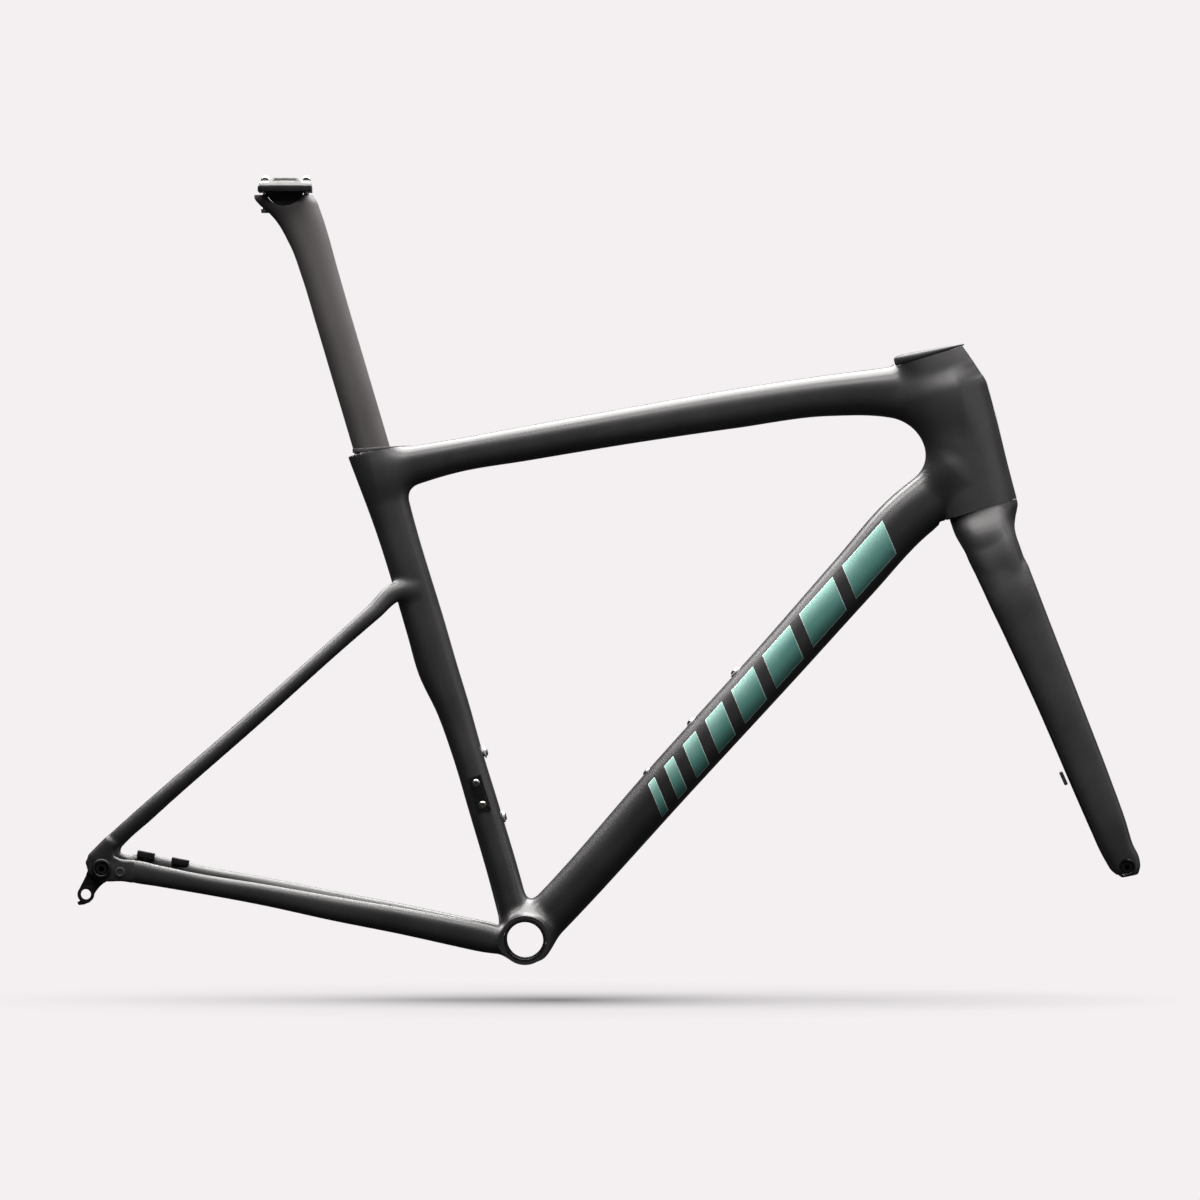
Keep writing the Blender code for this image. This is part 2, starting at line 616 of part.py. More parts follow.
# ---------------------------------------------------------------- headset
def make_headset():
    low = HEAD_LOW + 1.2
    turned("lower_bearing", STEERER, [
        (21.6, low), (LOWER_BEARING_R - 0.8, low), (LOWER_BEARING_R, low + 0.8),
        (LOWER_BEARING_R, low + 6.2), (LOWER_BEARING_R - 0.8, low + 7.0), (18.5, low + 7.0),
        (18.5, low + 3.1)], "grey_alloy")
    turned("crown_race", STEERER, [
        (STEERER_LOW_R + 0.2, HEAD_LOW - 0.3), (23.4, HEAD_LOW - 0.3), (23.4, HEAD_LOW + 0.6),
        (21.5, HEAD_LOW + 0.8), (18.2, HEAD_LOW + 4.1), (STEERER_LOW_R + 0.2, HEAD_LOW + 4.1)],
        "grey_alloy")
    top = HEAD_HIGH - 0.5
    turned("upper_bearing", STEERER, [
        (15.6, top - 8.0), (UPPER_BEARING_R - 0.7, top - 8.0), (UPPER_BEARING_R, top - 7.3),
        (UPPER_BEARING_R, top - 0.7), (UPPER_BEARING_R - 0.7, top), (18.6, top), (15.6, top - 3.0)],
        "grey_alloy")
    ring = turned("compression_ring", STEERER, [
        (STEERER_TOP_R + 0.15, top - 5.5), (15.3, top - 5.5), (15.3, top - 2.8),
        (18.2, top + 0.1), (18.2, top + 1.4), (STEERER_TOP_R + 0.15, top + 1.4)], "black_alloy")
    cut(ring, box("compression_ring_slit", STEERER, (-30.0, 0.0), (-0.8, 0.8), (top - 20.0, top + 20.0)))


def make_headset_cover():
    """A thin domed cap over the head tube's top, thickest at its tail."""
    rings = []
    for height_rear, height_front, shrink in ((422.4, 422.4, 0.4), (424.6, 423.2, 0.0),
                                              (429.2, 424.0, 0.2), (430.8, 424.6, 1.8),
                                              (431.7, 425.4, 7.0)):
        low = STEERING.at(501.0 + shrink, 0.0, height_rear)
        high = STEERING.at(570.0 - shrink, 0.0, height_front)
        rings.append(section((low + high) / 2.0, (high - low) / 2.0, 23.0 - shrink, 2.3, 0.24, HEAD_SIDES))
    cover = loft("headset_cover", rings, "cover")
    cut(cover, rod("cover_recess", STEERER, 19.0, 410.0, 424.6, sides=ROUND_SIDES))


# ---------------------------------------------------------------- fork
def make_crown():
    rings = []
    for along, rear, front, width in CROWN:
        centre = STEERING.at((rear + front) / 2.0, 0.0, along)
        rings.append(section(centre, STEERING.u * (front - rear) / 2.0, width / 2.0, 2.6, 0.12, HEAD_SIDES))
    crown = loft("fork_crown", rings, "carbon")
    arch_frame = Frame(STEERING.at(460.0, 0.0, 224.0), (0.0, 1.0, 0.0), STEERING.u)
    sign = 1.0 if arch_frame.v.dot(STEERING.w) > 0.0 else -1.0
    arch = [(22.0, -30.0 * sign), *[(u, v * sign) for u, v in arc((0.0, 0.0), 22.0, 0.0, 180.0, 14)],
            (-22.0, -30.0 * sign)]
    cut(crown, prism("tyre_arch", arch_frame, arch, 0.0, 160.0, None),
        rod("steerer_socket", STEERER, STEERER_LOW_R + GAP, 250.0, 280.0, sides=ROUND_SIDES))


def make_blades():
    blades = {}
    for side, turn in (("left", list), ("right", mirrored)):
        stations = [(c, d, a, b, y, width) for a, b, c, d, y, width in turn(FORK_BLADE)]
        outer = side_rings(stations, 1, 0.0, 3.2, 0.05, STAY_SIDES)
        inner = side_rings(stations, 1, -2.0, 3.2, 0.05, STAY_SIDES)[:BLADE_HOLLOW_STATIONS]
        blade = tube(f"fork_blade_{side}", outer, inner, "carbon", closed_end=True)
        blades[side] = blade
        hole_r = AXLE_HOLE_R if side == "left" else 8.2
        cut(blade, rod(f"fork_axle_hole_{side}", cross_frame(*FRONT_AXLE), hole_r,
                       *((40.0, 80.0) if side == "left" else (-80.0, -40.0)), sides=ROUND_SIDES))
    hub_space = box("front_hub_space", WORLD, (540.0, 600.0),
                    (-FRONT_HALF_SPACING, FRONT_HALF_SPACING), (50.0, 100.0))
    cut(blades["left"], hub_space)
    cut(blades["right"], hub_space)
    turned("fork_axle_insert", cross_frame(*FRONT_AXLE), [
        (AXLE_HOLE_R, -62.0), (7.9, -62.0), (7.9, -FRONT_HALF_SPACING), (AXLE_HOLE_R, -FRONT_HALF_SPACING)],
        "black_alloy")
    return blades


def make_steerer():
    turned("steerer_tube", STEERER, [
        (STEERER_BORE_R, 250.4), (STEERER_LOW_R, 250.4), (STEERER_LOW_R, 276.0),
        (STEERER_TOP_R, 330.0), (STEERER_TOP_R, STEERER_TOP), (STEERER_BORE_R, STEERER_TOP)], "carbon")
    turned("expander_plug", STEERER, [
        (3.4, 378.0), (10.2, 378.0), (11.7, 384.0), (11.7, 416.0), (10.4, 420.0), (3.4, 420.0)],
        "grey_alloy", 24)
    button_bolt("expander_bolt", STEERER.shifted(0.0, 0.0, 420.3), 5.0, 3.2, 3.0, 40.0)


def make_front_hose_grommet(blade):
    """Where the front brake hose leaves the back of the left blade."""
    frame = Frame((519.5, 50.0, 154.5), (0.41, 0.0, -0.91), (-0.91, 0.0, -0.41))
    grommet = box("front_hose_grommet", frame, (-7.0, 7.0), (-4.0, 4.0), (-0.8, 2.6), "rubber")
    bevel = grommet.modifiers.new("edge", "BEVEL")
    bevel.width = 1.2 * MM
    bevel.segments = 2
    cut(blade, box("hose_grommet_seat", frame, (-7.3, 7.3), (-4.3, 4.3), (-1.1, 8.0)))


# ---------------------------------------------------------------- seatpost
def post_section(height, grow=0.0):
    return seat_section(POST_DEPTH, POST_WIDTH, height, grow)


def make_seatpost():
    swapped = [(c, d, a, b, y, width) for a, b, c, d, y, width in POST_HEAD]
    head = side_rings(swapped, 2, 0.0, 2.5, 0.1)
    outer = [post_section(t) for t in (POST_BOTTOM, 0.0, POST_STRAIGHT_TOP)] + head
    inner = [post_section(t, -2.4) for t in (POST_BOTTOM, 0.0, POST_STRAIGHT_TOP + 20.0)]
    post = tube("seatpost", outer, inner, "post_carbon", closed_end=True)
    pivot = cross_frame(*CLAMP_PIVOT)
    cut(post, rod("clamp_seat", pivot, CLAMP_R + 0.4, -40.0, 40.0, sides=40))
    return post


def make_rail_clamp(post):
    """Half-round cradle under the rails, clamp plate above them, two bolts with barrel nuts."""
    cradle = box("rail_cradle", WORLD, CRADLE_LENGTH, (-28.0, 28.0), (CRADLE_LOW, RAIL_Z - 0.25), "black_alloy")
    half_round = [*arc(CLAMP_PIVOT, CLAMP_R, 195.0, 345.0, 16), (-214.0, 720.0), (-248.0, 720.0)]
    unite(cradle, side_plate("cradle_half_round", half_round, -15.5, 15.5, None))
    upper = box("rail_clamp_upper", WORLD, PLATE_LENGTH, (-27.0, 27.0), (RAIL_Z + 0.25, PLATE_HIGH), "grey_alloy")
    for side in (-1.0, 1.0):
        across = Frame((-231.0, side * RAIL_HALF_SPACING, RAIL_Z), (0.0, 1.0, 0.0), (1.0, 0.0, 0.0))
        rail = rod(f"rail_groove_{'left' if side > 0 else 'right'}", across, RAIL_R, -40.0, 40.0, sides=20)
        cut(cradle, rail)
        cut(upper, rail)
    for name, (x, bolt_low) in CLAMP_BOLTS.items():
        frame = Frame((x, 0.0, 0.0), (1.0, 0.0, 0.0), (0.0, 0.0, 1.0))
        across = cross_frame(x, NUT_Z)
        slot = box(f"clamp_slot_{name}", frame, (-3.7, 3.7), (-3.1, 3.1), (700.0, 740.0))
        nut_seat = rod(f"nut_seat_{name}", across, NUT_R + 0.7, -9.0, 9.0, sides=24)
        above = box(f"nut_clearance_{name}", frame, (-NUT_R - 0.7, NUT_R + 0.7), (-9.0, 9.0), (NUT_Z, 740.0))
        cut(cradle, slot)
        cut(upper, slot, nut_seat, above)
        nut = rod(f"clamp_nut_{name}", across, NUT_R, -8.0, 8.0, "steel", 20)
        cut(nut, rod(f"clamp_nut_bore_{name}", frame, 2.75, 700.0, 740.0))
        set_origin(nut, (x, 0.0, NUT_Z))
        bolt = rod(f"clamp_bolt_{name}", frame, 2.5, bolt_low, PLATE_HIGH + 2.6, "steel")
        if name == "rear":
            head = turned("rear_bolt_head", frame, [
                (0.0, 697.5), (3.6, 697.5), (4.1, 698.0), (4.1, 702.0), (0.0, 702.0)], None, BOLT_SIDES)
            unite(bolt, head)
            cut(post, rod("rear_head_clearance", frame, 4.5, 685.0, 702.4))
        cut(post, rod(f"clamp_bolt_hole_{name}", frame, 2.8, 690.0, 720.0))
    set_origin(cradle, (CLAMP_PIVOT[0], 0.0, CLAMP_PIVOT[1]))
    set_origin(upper, (CLAMP_PIVOT[0], 0.0, CLAMP_PIVOT[1]))


def make_seat_clamp():
    """The wedge that holds the post, in a pocket in front of it, and the rubber seal on top."""
    front = POST_DEPTH / 2.0 + 0.35
    shoe = [(front, -19.8), (front + 5.0, -19.8), (front + 3.0, -50.0), (front, -50.0)]
    block = [(front + 5.2, -23.5), (29.6, -23.5), (29.6, -46.0), (front + 3.7, -46.0)]
    wedge_frame = Frame(SEAT.origin, SEAT.u, (0.0, -1.0, 0.0))
    sign = 1.0 if wedge_frame.v.dot(SEAT.w) > 0.0 else -1.0
    prism("wedge_shoe", wedge_frame, [(u, v * sign) for u, v in shoe], -8.8, 8.8, "grey_alloy")
    wedge = prism("wedge_block", wedge_frame, [(u, v * sign) for u, v in block], -8.8, 8.8, "grey_alloy")
    bolt_frame = SEAT.shifted(26.2, 0.0, -23.2)
    cut(wedge, rod("wedge_bolt_hole", bolt_frame, 2.3, -40.0, 10.0))
    button_bolt("wedge_bolt", bolt_frame, 3.2, 2.6, 2.0, 30.0)


def make_seatpost_seal():
    plane = Frame((-145.6, 0.0, 469.3), (0.9905, 0.0, 0.1376), (-0.1376, 0.0, 0.9905))
    outline = [(-19.8, -7.0), (-17.5, -12.0), (-8.0, -15.4), (8.0, -14.6), (20.0, -9.0), (36.5, 0.0),
               (20.0, 9.0), (8.0, 14.6), (-8.0, 15.4), (-17.5, 12.0), (-19.8, 7.0)]
    low = [plane.at(u, v, 0.5) for u, v in outline]
    high = [plane.at(u, v, 4.6 - 0.075 * (u + 19.8)) for u, v in outline]
    seal = loft("seatpost_seal", [low, high], "rubber")
    cut(seal, loft("seal_post_hole", [post_section(t, 0.35) for t in (-40.0, 30.0)], None))


# ---------------------------------------------------------------- build
def main():
    for scene_object in list(bpy.data.objects):
        bpy.data.objects.remove(scene_object, do_unlink=True)
    solids = make_frame_tubes()
    make_bottom_bracket()
    make_stays(solids)
    dropout = make_dropouts()
    make_hanger()
    make_axle("rear_thru_axle", REAR_AXLE, -82.0, 79.3, "black_alloy")
    make_axle("front_thru_axle", FRONT_AXLE, -61.0, 62.8, "black_alloy")
    make_bottle_bolts(solids)
    make_front_derailleur_mount(solids["seat"])
    make_rear_brake_pads(solids["chainstay_left"], dropout)
    make_headset()
    make_headset_cover()
    make_crown()
    blades = make_blades()
    make_steerer()
    make_front_hose_grommet(blades["left"])
    post = make_seatpost()
    make_rail_clamp(post)
    make_seat_clamp()
    make_seatpost_seal()


main()
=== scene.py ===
"""The look of the road bicycle frameset: smooth carbon mouldings, detailed fittings, studio.

Shapes are worked out in millimetres in the CAD model's own frame: +X forward, +Y to the
rider's left, +Z up, origin at the bottom bracket. They become metres when a mesh is made.
"""

import json
import math

import bmesh
import bpy
import numpy as np
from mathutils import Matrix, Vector
from mathutils.bvhtree import BVHTree


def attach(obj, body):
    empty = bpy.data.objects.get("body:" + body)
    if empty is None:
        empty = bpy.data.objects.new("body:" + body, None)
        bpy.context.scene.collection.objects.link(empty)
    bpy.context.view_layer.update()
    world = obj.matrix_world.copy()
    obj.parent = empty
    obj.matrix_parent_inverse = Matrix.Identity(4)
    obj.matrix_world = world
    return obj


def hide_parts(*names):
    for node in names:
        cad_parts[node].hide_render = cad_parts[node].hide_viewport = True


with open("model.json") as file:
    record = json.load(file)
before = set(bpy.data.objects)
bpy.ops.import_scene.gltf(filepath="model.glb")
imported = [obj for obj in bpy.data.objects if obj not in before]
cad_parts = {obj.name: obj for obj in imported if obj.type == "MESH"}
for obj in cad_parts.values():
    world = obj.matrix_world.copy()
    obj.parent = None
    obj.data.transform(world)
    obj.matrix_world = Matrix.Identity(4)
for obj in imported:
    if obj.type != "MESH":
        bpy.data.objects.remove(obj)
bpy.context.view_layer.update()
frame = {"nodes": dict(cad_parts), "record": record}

# ---------------- shared sizes (mm)
MM = 0.001
BB_HALF_WIDTH = 34
BB_OUTER_R = 23.5
SLEEVE_OUTER_R = 20.2
SLEEVE_BORE_R = 17.45
REAR_AXLE = (-403.5, 69.7)
FRONT_AXLE = (575.4, 70.7)
AXLE_R = 6
AXLE_HOLE_R = 6.25
STEERING_N = 528
HEAD_LOW = 267
HEAD_HIGH = 422
HEAD_REAR = 507               # below the head tube the frame ends here
HEAD_SHAPE = (2.3, 0.24)        # superellipse power, and how much the nose narrows
CROWN_TOP = 266.7
CROWN_TURN_R = 33.5             # room behind the crown, so that it can turn
ARCH_R = 22                   # the wheel's arch between the blades
ARCH_TOP = 222                # height of the arch's centre along the steering axis
SEAT_REF = (-151, 484)
POST_DEPTH = 34.6
POST_WIDTH = 27.2
POST_SHAPE = (2.5, 0.1)
CLAMP_PIVOT = (-231, 723.2)
CLAMP_R = 18.7
RAIL_HALF_SPACING = 22
RAIL_R = 3.6
RAIL_Z = 722.9
CLAMP_BOLT_X = {"rear": -249.3, "front": -210}
NUT_Z = 728.2
HANGER_EYE = (-418.5, 45.3)
WIRE_PORT = (-385.8, 66.3)
LEFT_DROPOUT = (71, 79)     # y of its faces
RIGHT_DROPOUT = (-80, -75.3)
FLOOR_Z = -0.058                # metres
PAPER = (0.905, 0.871, 0.880)   # the pale studio paper


class Frame:
    """An origin with unit directions u, v, w; w is the axis of turned pieces."""

    def __init__(self, origin, u, w):
        self.origin = Vector(origin)
        self.u = Vector(u).normalized()
        self.w = Vector(w).normalized()
        self.v = self.w.cross(self.u)

    def at(self, u, v, w):
        return self.origin + self.u * u + self.v * v + self.w * w

    def shifted(self, u, v, w):
        return Frame(self.at(u, v, w), self.u, self.w)


def tilted_frame(x, z, degrees):
    """An upright frame leaning backward."""
    lean = math.radians(degrees)
    return Frame((x, 0, z), (math.cos(lean), 0, math.sin(lean)),
                 (-math.sin(lean), 0, math.cos(lean)))


def cross_frame(x, z):
    """A frame whose w axis runs across the bicycle."""
    return Frame((x, 0, z), (0, 0, 1), (0, 1, 0))


STEERING = tilted_frame(0, 0, 17)
STEERER = STEERING.shifted(STEERING_N, 0, 0)
SEAT = tilted_frame(SEAT_REF[0], SEAT_REF[1], 16.5)
SEAT_MOUTH = Frame((-145.6, 0, 469.3), (0.9905, 0, 0.1376), (-0.1376, 0, 0.9905))
WORLD = Frame((0, 0, 0), (1, 0, 0), (0, 0, 1))

DOWN_TUBE_UP = (-0.752, 0, 0.659)

# ---------------- tube outlines (mm)
# Stations: one edge (x, z), the other edge (x, z), the centre's y and the width.
TOP_TUBE = [
    (-150, 466, -140, 424, 0, 26), (-115, 472.5, -106, 436, 0, 27), (-70, 480, -66, 448, 0, 28),
    (0, 493, 4, 460, 0, 30), (100, 511, 104, 476.5, 0, 32), (200, 528.5, 203, 491, 0, 33),
    (290, 542, 292, 502.5, 0, 35), (345, 549, 350, 501, 0, 37), (378, 554, 386, 492, 0, 38),
    (410, 556, 420, 486, 0, 36),
]
DOWN_TUBE = [
    (-15.5, 14, 15.5, -14, 0, 44), (21, 52, 52, 24, 0, 46), (123.5, 169, 157, 139, 0, 50),
    (228.5, 285.5, 263, 254, 0, 50), (297, 364, 333, 331, 0, 48), (348, 422, 386, 388, 0, 47),
    (398, 462, 436, 424, 0, 45),
]
SEAT_TUBE = [
    (-125, 477, -170, 463.5, 0, 31.4), (-105.5, 399, -142, 388, 0, 31.4),
    (-76.5, 303, -113, 292, 0, 31.4), (-65.5, 265, -102, 254, 0, 31.4),
    (-53.5, 225.5, -84, 216, 0, 32), (-42.5, 186, -70, 177, 0, 34), (-25, 129, -53, 120, 0, 37),
    (-7.5, 71, -36, 62, 0, 42), (9.5, 7.5, -19.5, -1.5, 0, 46),
]
CHAINSTAY = [
    (-399, 77.5, -400, 59.8, 76.6, 6.2), (-384, 77.2, -385.5, 59.6, 76, 7.6),
    (-371, 77.5, -373.5, 56.4, 75.3, 9.2), (-350, 73, -353, 53, 71.5, 11),
    (-315, 65.5, -319, 47, 61, 13),
    (-247, 54, -251, 34, 46, 14), (-180, 42, -184, 19, 35, 14), (-115, 31, -120, 6, 27.5, 15),
    (-60, 21, -66, -6, 25, 17), (-38, 17, -43, -11, 24, 18), (2, 5, -6, -15, 23, 20),
]
# How much higher the left chainstay's top edge is at each of those stations.
LEFT_RISE = (0.5, 2, 4, 4.5, 4.5, 4, 3, 2, 0.5, 0, 0)
SEATSTAY = [
    (-415.5, 82, -404, 71, 76.4, 6.4), (-400.5, 98.5, -390, 87.5, 75.9, 7.4),
    (-390, 108, -380.5, 97.2, 75.2, 8.8), (-375, 121.5, -365, 110.5, 73.5, 9.5),
    (-354, 140, -344.5, 129, 70.5, 10.5), (-266, 216.5, -256.5, 206, 53, 11),
    (-181, 292.5, -171.5, 282, 33, 11), (-150, 321, -140, 309, 24.5, 12),
    (-128, 342, -121, 325, 15, 13), (-104, 343, -102, 328, 8, 11),
]
# Head tube, crown and shoulders: height along the steering axis, rear edge, front edge, width.
HEAD_TUBE = [
    (262, 499, 575, 57.5), (300, 503, 576.5, 54), (345, 505, 579, 51), (375, 505, 580, 49.5),
    (384, 504.5, 580, 49), (388, 504.3, 579, 48.8), (400, 503, 575.2, 48.2),
    (415, 502.5, 570.6, 47), (428, 502, 566, 45.5),
]
CROWN = [
    (222, 522, 557, 56), (236, 512.5, 564.5, 68.5), (243, 510.2, 566.2, 69),
    (250, 508.8, 568.6, 66), (262, 507.8, 574.6, 57.4), (272, 507.8, 574.2, 56.2),
]
SHOULDERS = [
    (176, 522.8, 567, 84.4), (190, 519.2, 566.3, 84.2), (205, 516.1, 565.6, 82.4),
    (222, 513.1, 565.2, 78.8), (236, 511.9, 564.4, 73.2), (250, 512.2, 562.5, 64.5), (262, 513, 562, 54),
]
FORK_BLADE = [                  # rear edge, front edge, y, width
    (432.4, 364.3, 470.6, 376, 28, 9), (435.2, 347.5, 480.8, 361.4, 31.6, 15.5),
    (441.9, 332.1, 485, 350.9, 34.2, 17.2), (460, 294.1, 500.1, 311.3, 38, 16.5),
    (495.4, 217.6, 530.5, 232.3, 45, 15), (528.7, 140.8, 560.3, 154.1, 51.5, 13.5),
    (545.6, 102.6, 574.8, 113.4, 55.5, 12.6),
    (553.5, 85, 581, 93, 56, 12.4), (560.3, 72.5, 587.2, 79.5, 56, 12.2),
    (565.3, 64.8, 588, 70.5, 56, 12), (570.5, 60.6, 586, 63.8, 56, 11.6),
]
DROPOUT = [
    (-398, 98.5), (-415.5, 82.5), (-419, 76), (-416, 65), (-407, 58), (-396, 57.3),
    (-384, 57.8), (-375, 57), (-373.3, 77.5), (-384, 78.2), (-391.5, 82), (-393, 88), (-390, 93),
]
POST_HEAD = [
    (-214, 635, -180.3, 645, 0, 27.2), (-226, 667, -189.3, 677.5, 0, 27.5),
    (-243, 694.5, -197, 701, 0, 29), (-256.5, 707, -200.5, 709.5, 0, 31),
    (-259.8, 711.5, -203, 713, 0, 31), (-260, 714.6, -204.4, 714.8, 0, 30.4),
]


def spline(stations, spacing=2.5):
    """Smooth rows through the stations, about spacing millimetres apart."""
    rows = np.array(stations, float)
    centre = np.column_stack([(rows[:, 0:2] + rows[:, 2:4]) / 2, rows[:, 4]])
    gaps = np.linalg.norm(np.diff(centre, axis=0), axis=1)
    rates = np.diff(rows, axis=0) / gaps[:, None]
    inner = ((gaps[1:, None] * rates[:-1] + gaps[:-1, None] * rates[1:])
             / (gaps[:-1] + gaps[1:])[:, None])
    slopes = np.vstack([rates[:1], inner, rates[-1:]])
    result = []
    for i, gap in enumerate(gaps):
        count = max(2, math.ceil(gap / spacing))
        t = (np.arange(count) / count)[:, None]
        start, end = gap * slopes[i], gap * slopes[i + 1]
        result.append((2 * t ** 3 - 3 * t ** 2 + 1) * rows[i] + (t ** 3 - 2 * t ** 2 + t) * start
                      + (3 * t ** 2 - 2 * t ** 3) * rows[i + 1] + (t ** 3 - t ** 2) * end)
    result.append(rows[-1:])
    return np.vstack(result)


def steering_stations(stations):
    """Turns (along, rear, front, width) into edge stations, front edge first."""
    edges = [(STEERING.at(front, 0, along), STEERING.at(rear, 0, along), width)
             for along, rear, front, width in stations]
    return [(a.x, a.z, b.x, b.z, 0, width) for a, b, width in edges]


def mirrored(stations):
    """The same stations on the other side of the bicycle."""
    return [(*row[:4], -row[4], row[5]) for row in stations]


def front_first(stations):
    return [(c, d, a, b, y, width) for a, b, c, d, y, width in stations]


def turns(count, offset=0):
    """Evenly spaced angles once round."""
    return [2 * math.pi * (k + offset) / count for k in range(count)]


def superellipse(angle, power, taper):
    """A point (up, side) of a unit superellipse that narrows upward by taper."""
    c, s = math.cos(angle), math.sin(angle)
    up = math.copysign(abs(c) ** (2 / power), c)
    return up, math.copysign(abs(s) ** (2 / power), s) * (1 - taper * up)


# ---------------- distance fields
def rounded_corner(a, b, rounding):
    """The part common to two fields, with the edge between them rounded."""
    a, b = a + rounding, b + rounding
    outside = np.hypot(np.maximum(a, 0), np.maximum(b, 0))
    return outside + np.minimum(np.maximum(a, b), 0) - rounding


class Sweep:
    """A tube of superellipse sections, as a field that is negative inside."""
    FAR = 60.0                  # the value given to points nowhere near the tube
    ROUNDING = 1.5              # of its end edges

    def __init__(self, stations, power=2.6, taper=0):
        rows = spline(stations)
        first, second = rows[:, 0:2], rows[:, 2:4]
        half = (first - second) / 2
        self.centre = (first + second) / 2
        self.half = np.linalg.norm(half, axis=1)
        self.up = half / self.half[:, None]
        self.y = rows[:, 4]
        self.width = rows[:, 5] / 2
        self.power = power
        self.taper = taper
        normal = np.stack([self.up[:, 1], -self.up[:, 0]], axis=1)
        travel = np.gradient(self.centre, axis=0)
        spacing = (normal * travel).sum(axis=1)
        self.normal = normal * np.sign(spacing)[:, None]
        self.spacing = np.maximum(np.abs(spacing), 1e-3)

    def rings(self, sides, every=4):
        """Outlines for a rough solid: one in every few rows, and always the last."""
        rings = []
        last = len(self.y) - 1
        for i in sorted({*range(0, last, every), last}):
            ring = []
            for angle in turns(sides, 0.5):
                up, side = superellipse(angle, self.power, self.taper)
                flat = self.centre[i] + self.up[i] * self.half[i] * up
                ring.append(Vector((flat[0], self.y[i] + self.width[i] * side, flat[1])))
            rings.append(ring)
        return rings

    def field(self, points):
        result = np.full(len(points), self.FAR)
        flat = points[:, [0, 2]]
        reach = max(self.half.max(), self.width.max()) + 30
        low = self.centre.min(axis=0) - reach
        high = self.centre.max(axis=0) + reach
        near = np.nonzero(np.all((flat > low) & (flat < high), axis=1))[0]
        for part in np.array_split(near, max(1, len(near) // 20000)):
            if len(part):
                result[part] = self.near_field(points[part])
        return result

    def near_field(self, points):
        flat = points[:, [0, 2]]
        gaps = ((flat[:, None, :] - self.centre[None, :, :]) ** 2).sum(axis=2)
        index = gaps.argmin(axis=1)
        along = ((flat - self.centre[index]) * self.normal[index]).sum(axis=1) / self.spacing[index]
        last = len(self.y) - 1
        place = index + along
        beyond = np.maximum(place - last, -place) * self.spacing[index]
        place = np.clip(place, 0, last - 1e-6)
        k = place.astype(int)
        f = place - k

        def mix(values):
            weight = f if values.ndim == 1 else f[:, None]
            return values[k] * (1 - weight) + values[k + 1] * weight

        up = mix(self.up)
        rel = ((flat - mix(self.centre)) * up).sum(axis=1)
        side = points[:, 1] - mix(self.y)
        u = rel / mix(self.half)
        v = side / (mix(self.width) * (1 - self.taper * np.clip(u, -1, 1)))
        rho = (np.abs(u) ** self.power + np.abs(v) ** self.power) ** (1 / self.power)
        reach = np.hypot(rel, side)
        size = reach / np.maximum(rho, 1e-6)
        distance = np.where(rho > 1e-3, reach - size, -mix(self.width))
        return rounded_corner(distance, beyond, self.ROUNDING)


class Cylinder:
    """A round bar across the bicycle."""

    def __init__(self, centre, radius, half_width):
        self.centre = centre
        self.radius = radius
        self.half_width = half_width

    def field(self, points):
        radial = np.hypot(points[:, 0] - self.centre[0], points[:, 2] - self.centre[1]) - self.radius
        return np.maximum(radial, np.abs(points[:, 1]) - self.half_width)


class Plate:
    """A plate across the bicycle with an (x, z) outline and rounded edges."""

    def __init__(self, outline, y_low, y_high, rounding):
        self.outline = np.array(outline, float)
        self.middle = (y_low + y_high) / 2
        self.half = (y_high - y_low) / 2
        self.rounding = rounding

    def field(self, points):
        flat = points[:, [0, 2]]
        nearest = np.full(len(flat), 1e9)
        inside = np.zeros(len(flat), bool)
        for a, b in zip(self.outline, np.roll(self.outline, -1, axis=0)):
            edge = b - a
            t = np.clip(((flat - a) @ edge) / (edge @ edge), 0, 1)
            nearest = np.minimum(nearest, np.linalg.norm(flat - a - t[:, None] * edge, axis=1))
            crosses = (a[1] > flat[:, 1]) != (b[1] > flat[:, 1])
            height = (flat[:, 1] - a[1]) / (edge[1] if edge[1] else 1e-9)
            inside ^= crosses & (flat[:, 0] < a[0] + edge[0] * height)
        deep = np.abs(points[:, 1] - self.middle) - self.half
        return rounded_corner(np.where(inside, -nearest, nearest), deep, self.rounding)


def blend(a, b, radius):
    """The union of two fields with a fillet between them."""
    h = np.maximum(radius - np.abs(a - b), 0) / radius
    return np.minimum(a, b) - h * h * radius / 4


def carve(a, b, radius):
    """Takes field b away from field a, with a rounded edge."""
    return -blend(-a, b, radius)


# ---------------- meshes
def add_object(name, data):
    thing = bpy.data.objects.new(name, data)
    bpy.context.scene.collection.objects.link(thing)
    return thing


def mesh_from(name, bm):
    """An object with the mesh that was being built, its faces turned outward."""
    bmesh.ops.recalc_face_normals(bm, faces=bm.faces)
    mesh = bpy.data.meshes.new(name)
    bm.to_mesh(mesh)
    bm.free()
    return add_object(name, mesh)


def smooth_shade(piece, degrees):
    """Smooth shading with edges sharper than the angle kept sharp."""
    piece.data.shade_smooth()
    piece.data.set_sharp_from_angle(angle=math.radians(degrees))
    return piece


def add_ring(bm, points):
    return [bm.verts.new(point * MM) for point in points]


def loft(name, rings):
    """Skin through rings of points, with flat ends."""
    bm = bmesh.new()
    made = [add_ring(bm, ring) for ring in rings]
    for ring_a, ring_b in zip(made, made[1:]):
        for i in range(len(ring_a)):
            j = (i + 1) % len(ring_a)
            bm.faces.new((ring_a[i], ring_a[j], ring_b[j], ring_b[i]))
    bm.faces.new(made[0])
    bm.faces.new(made[-1])
    return mesh_from(name, bm)


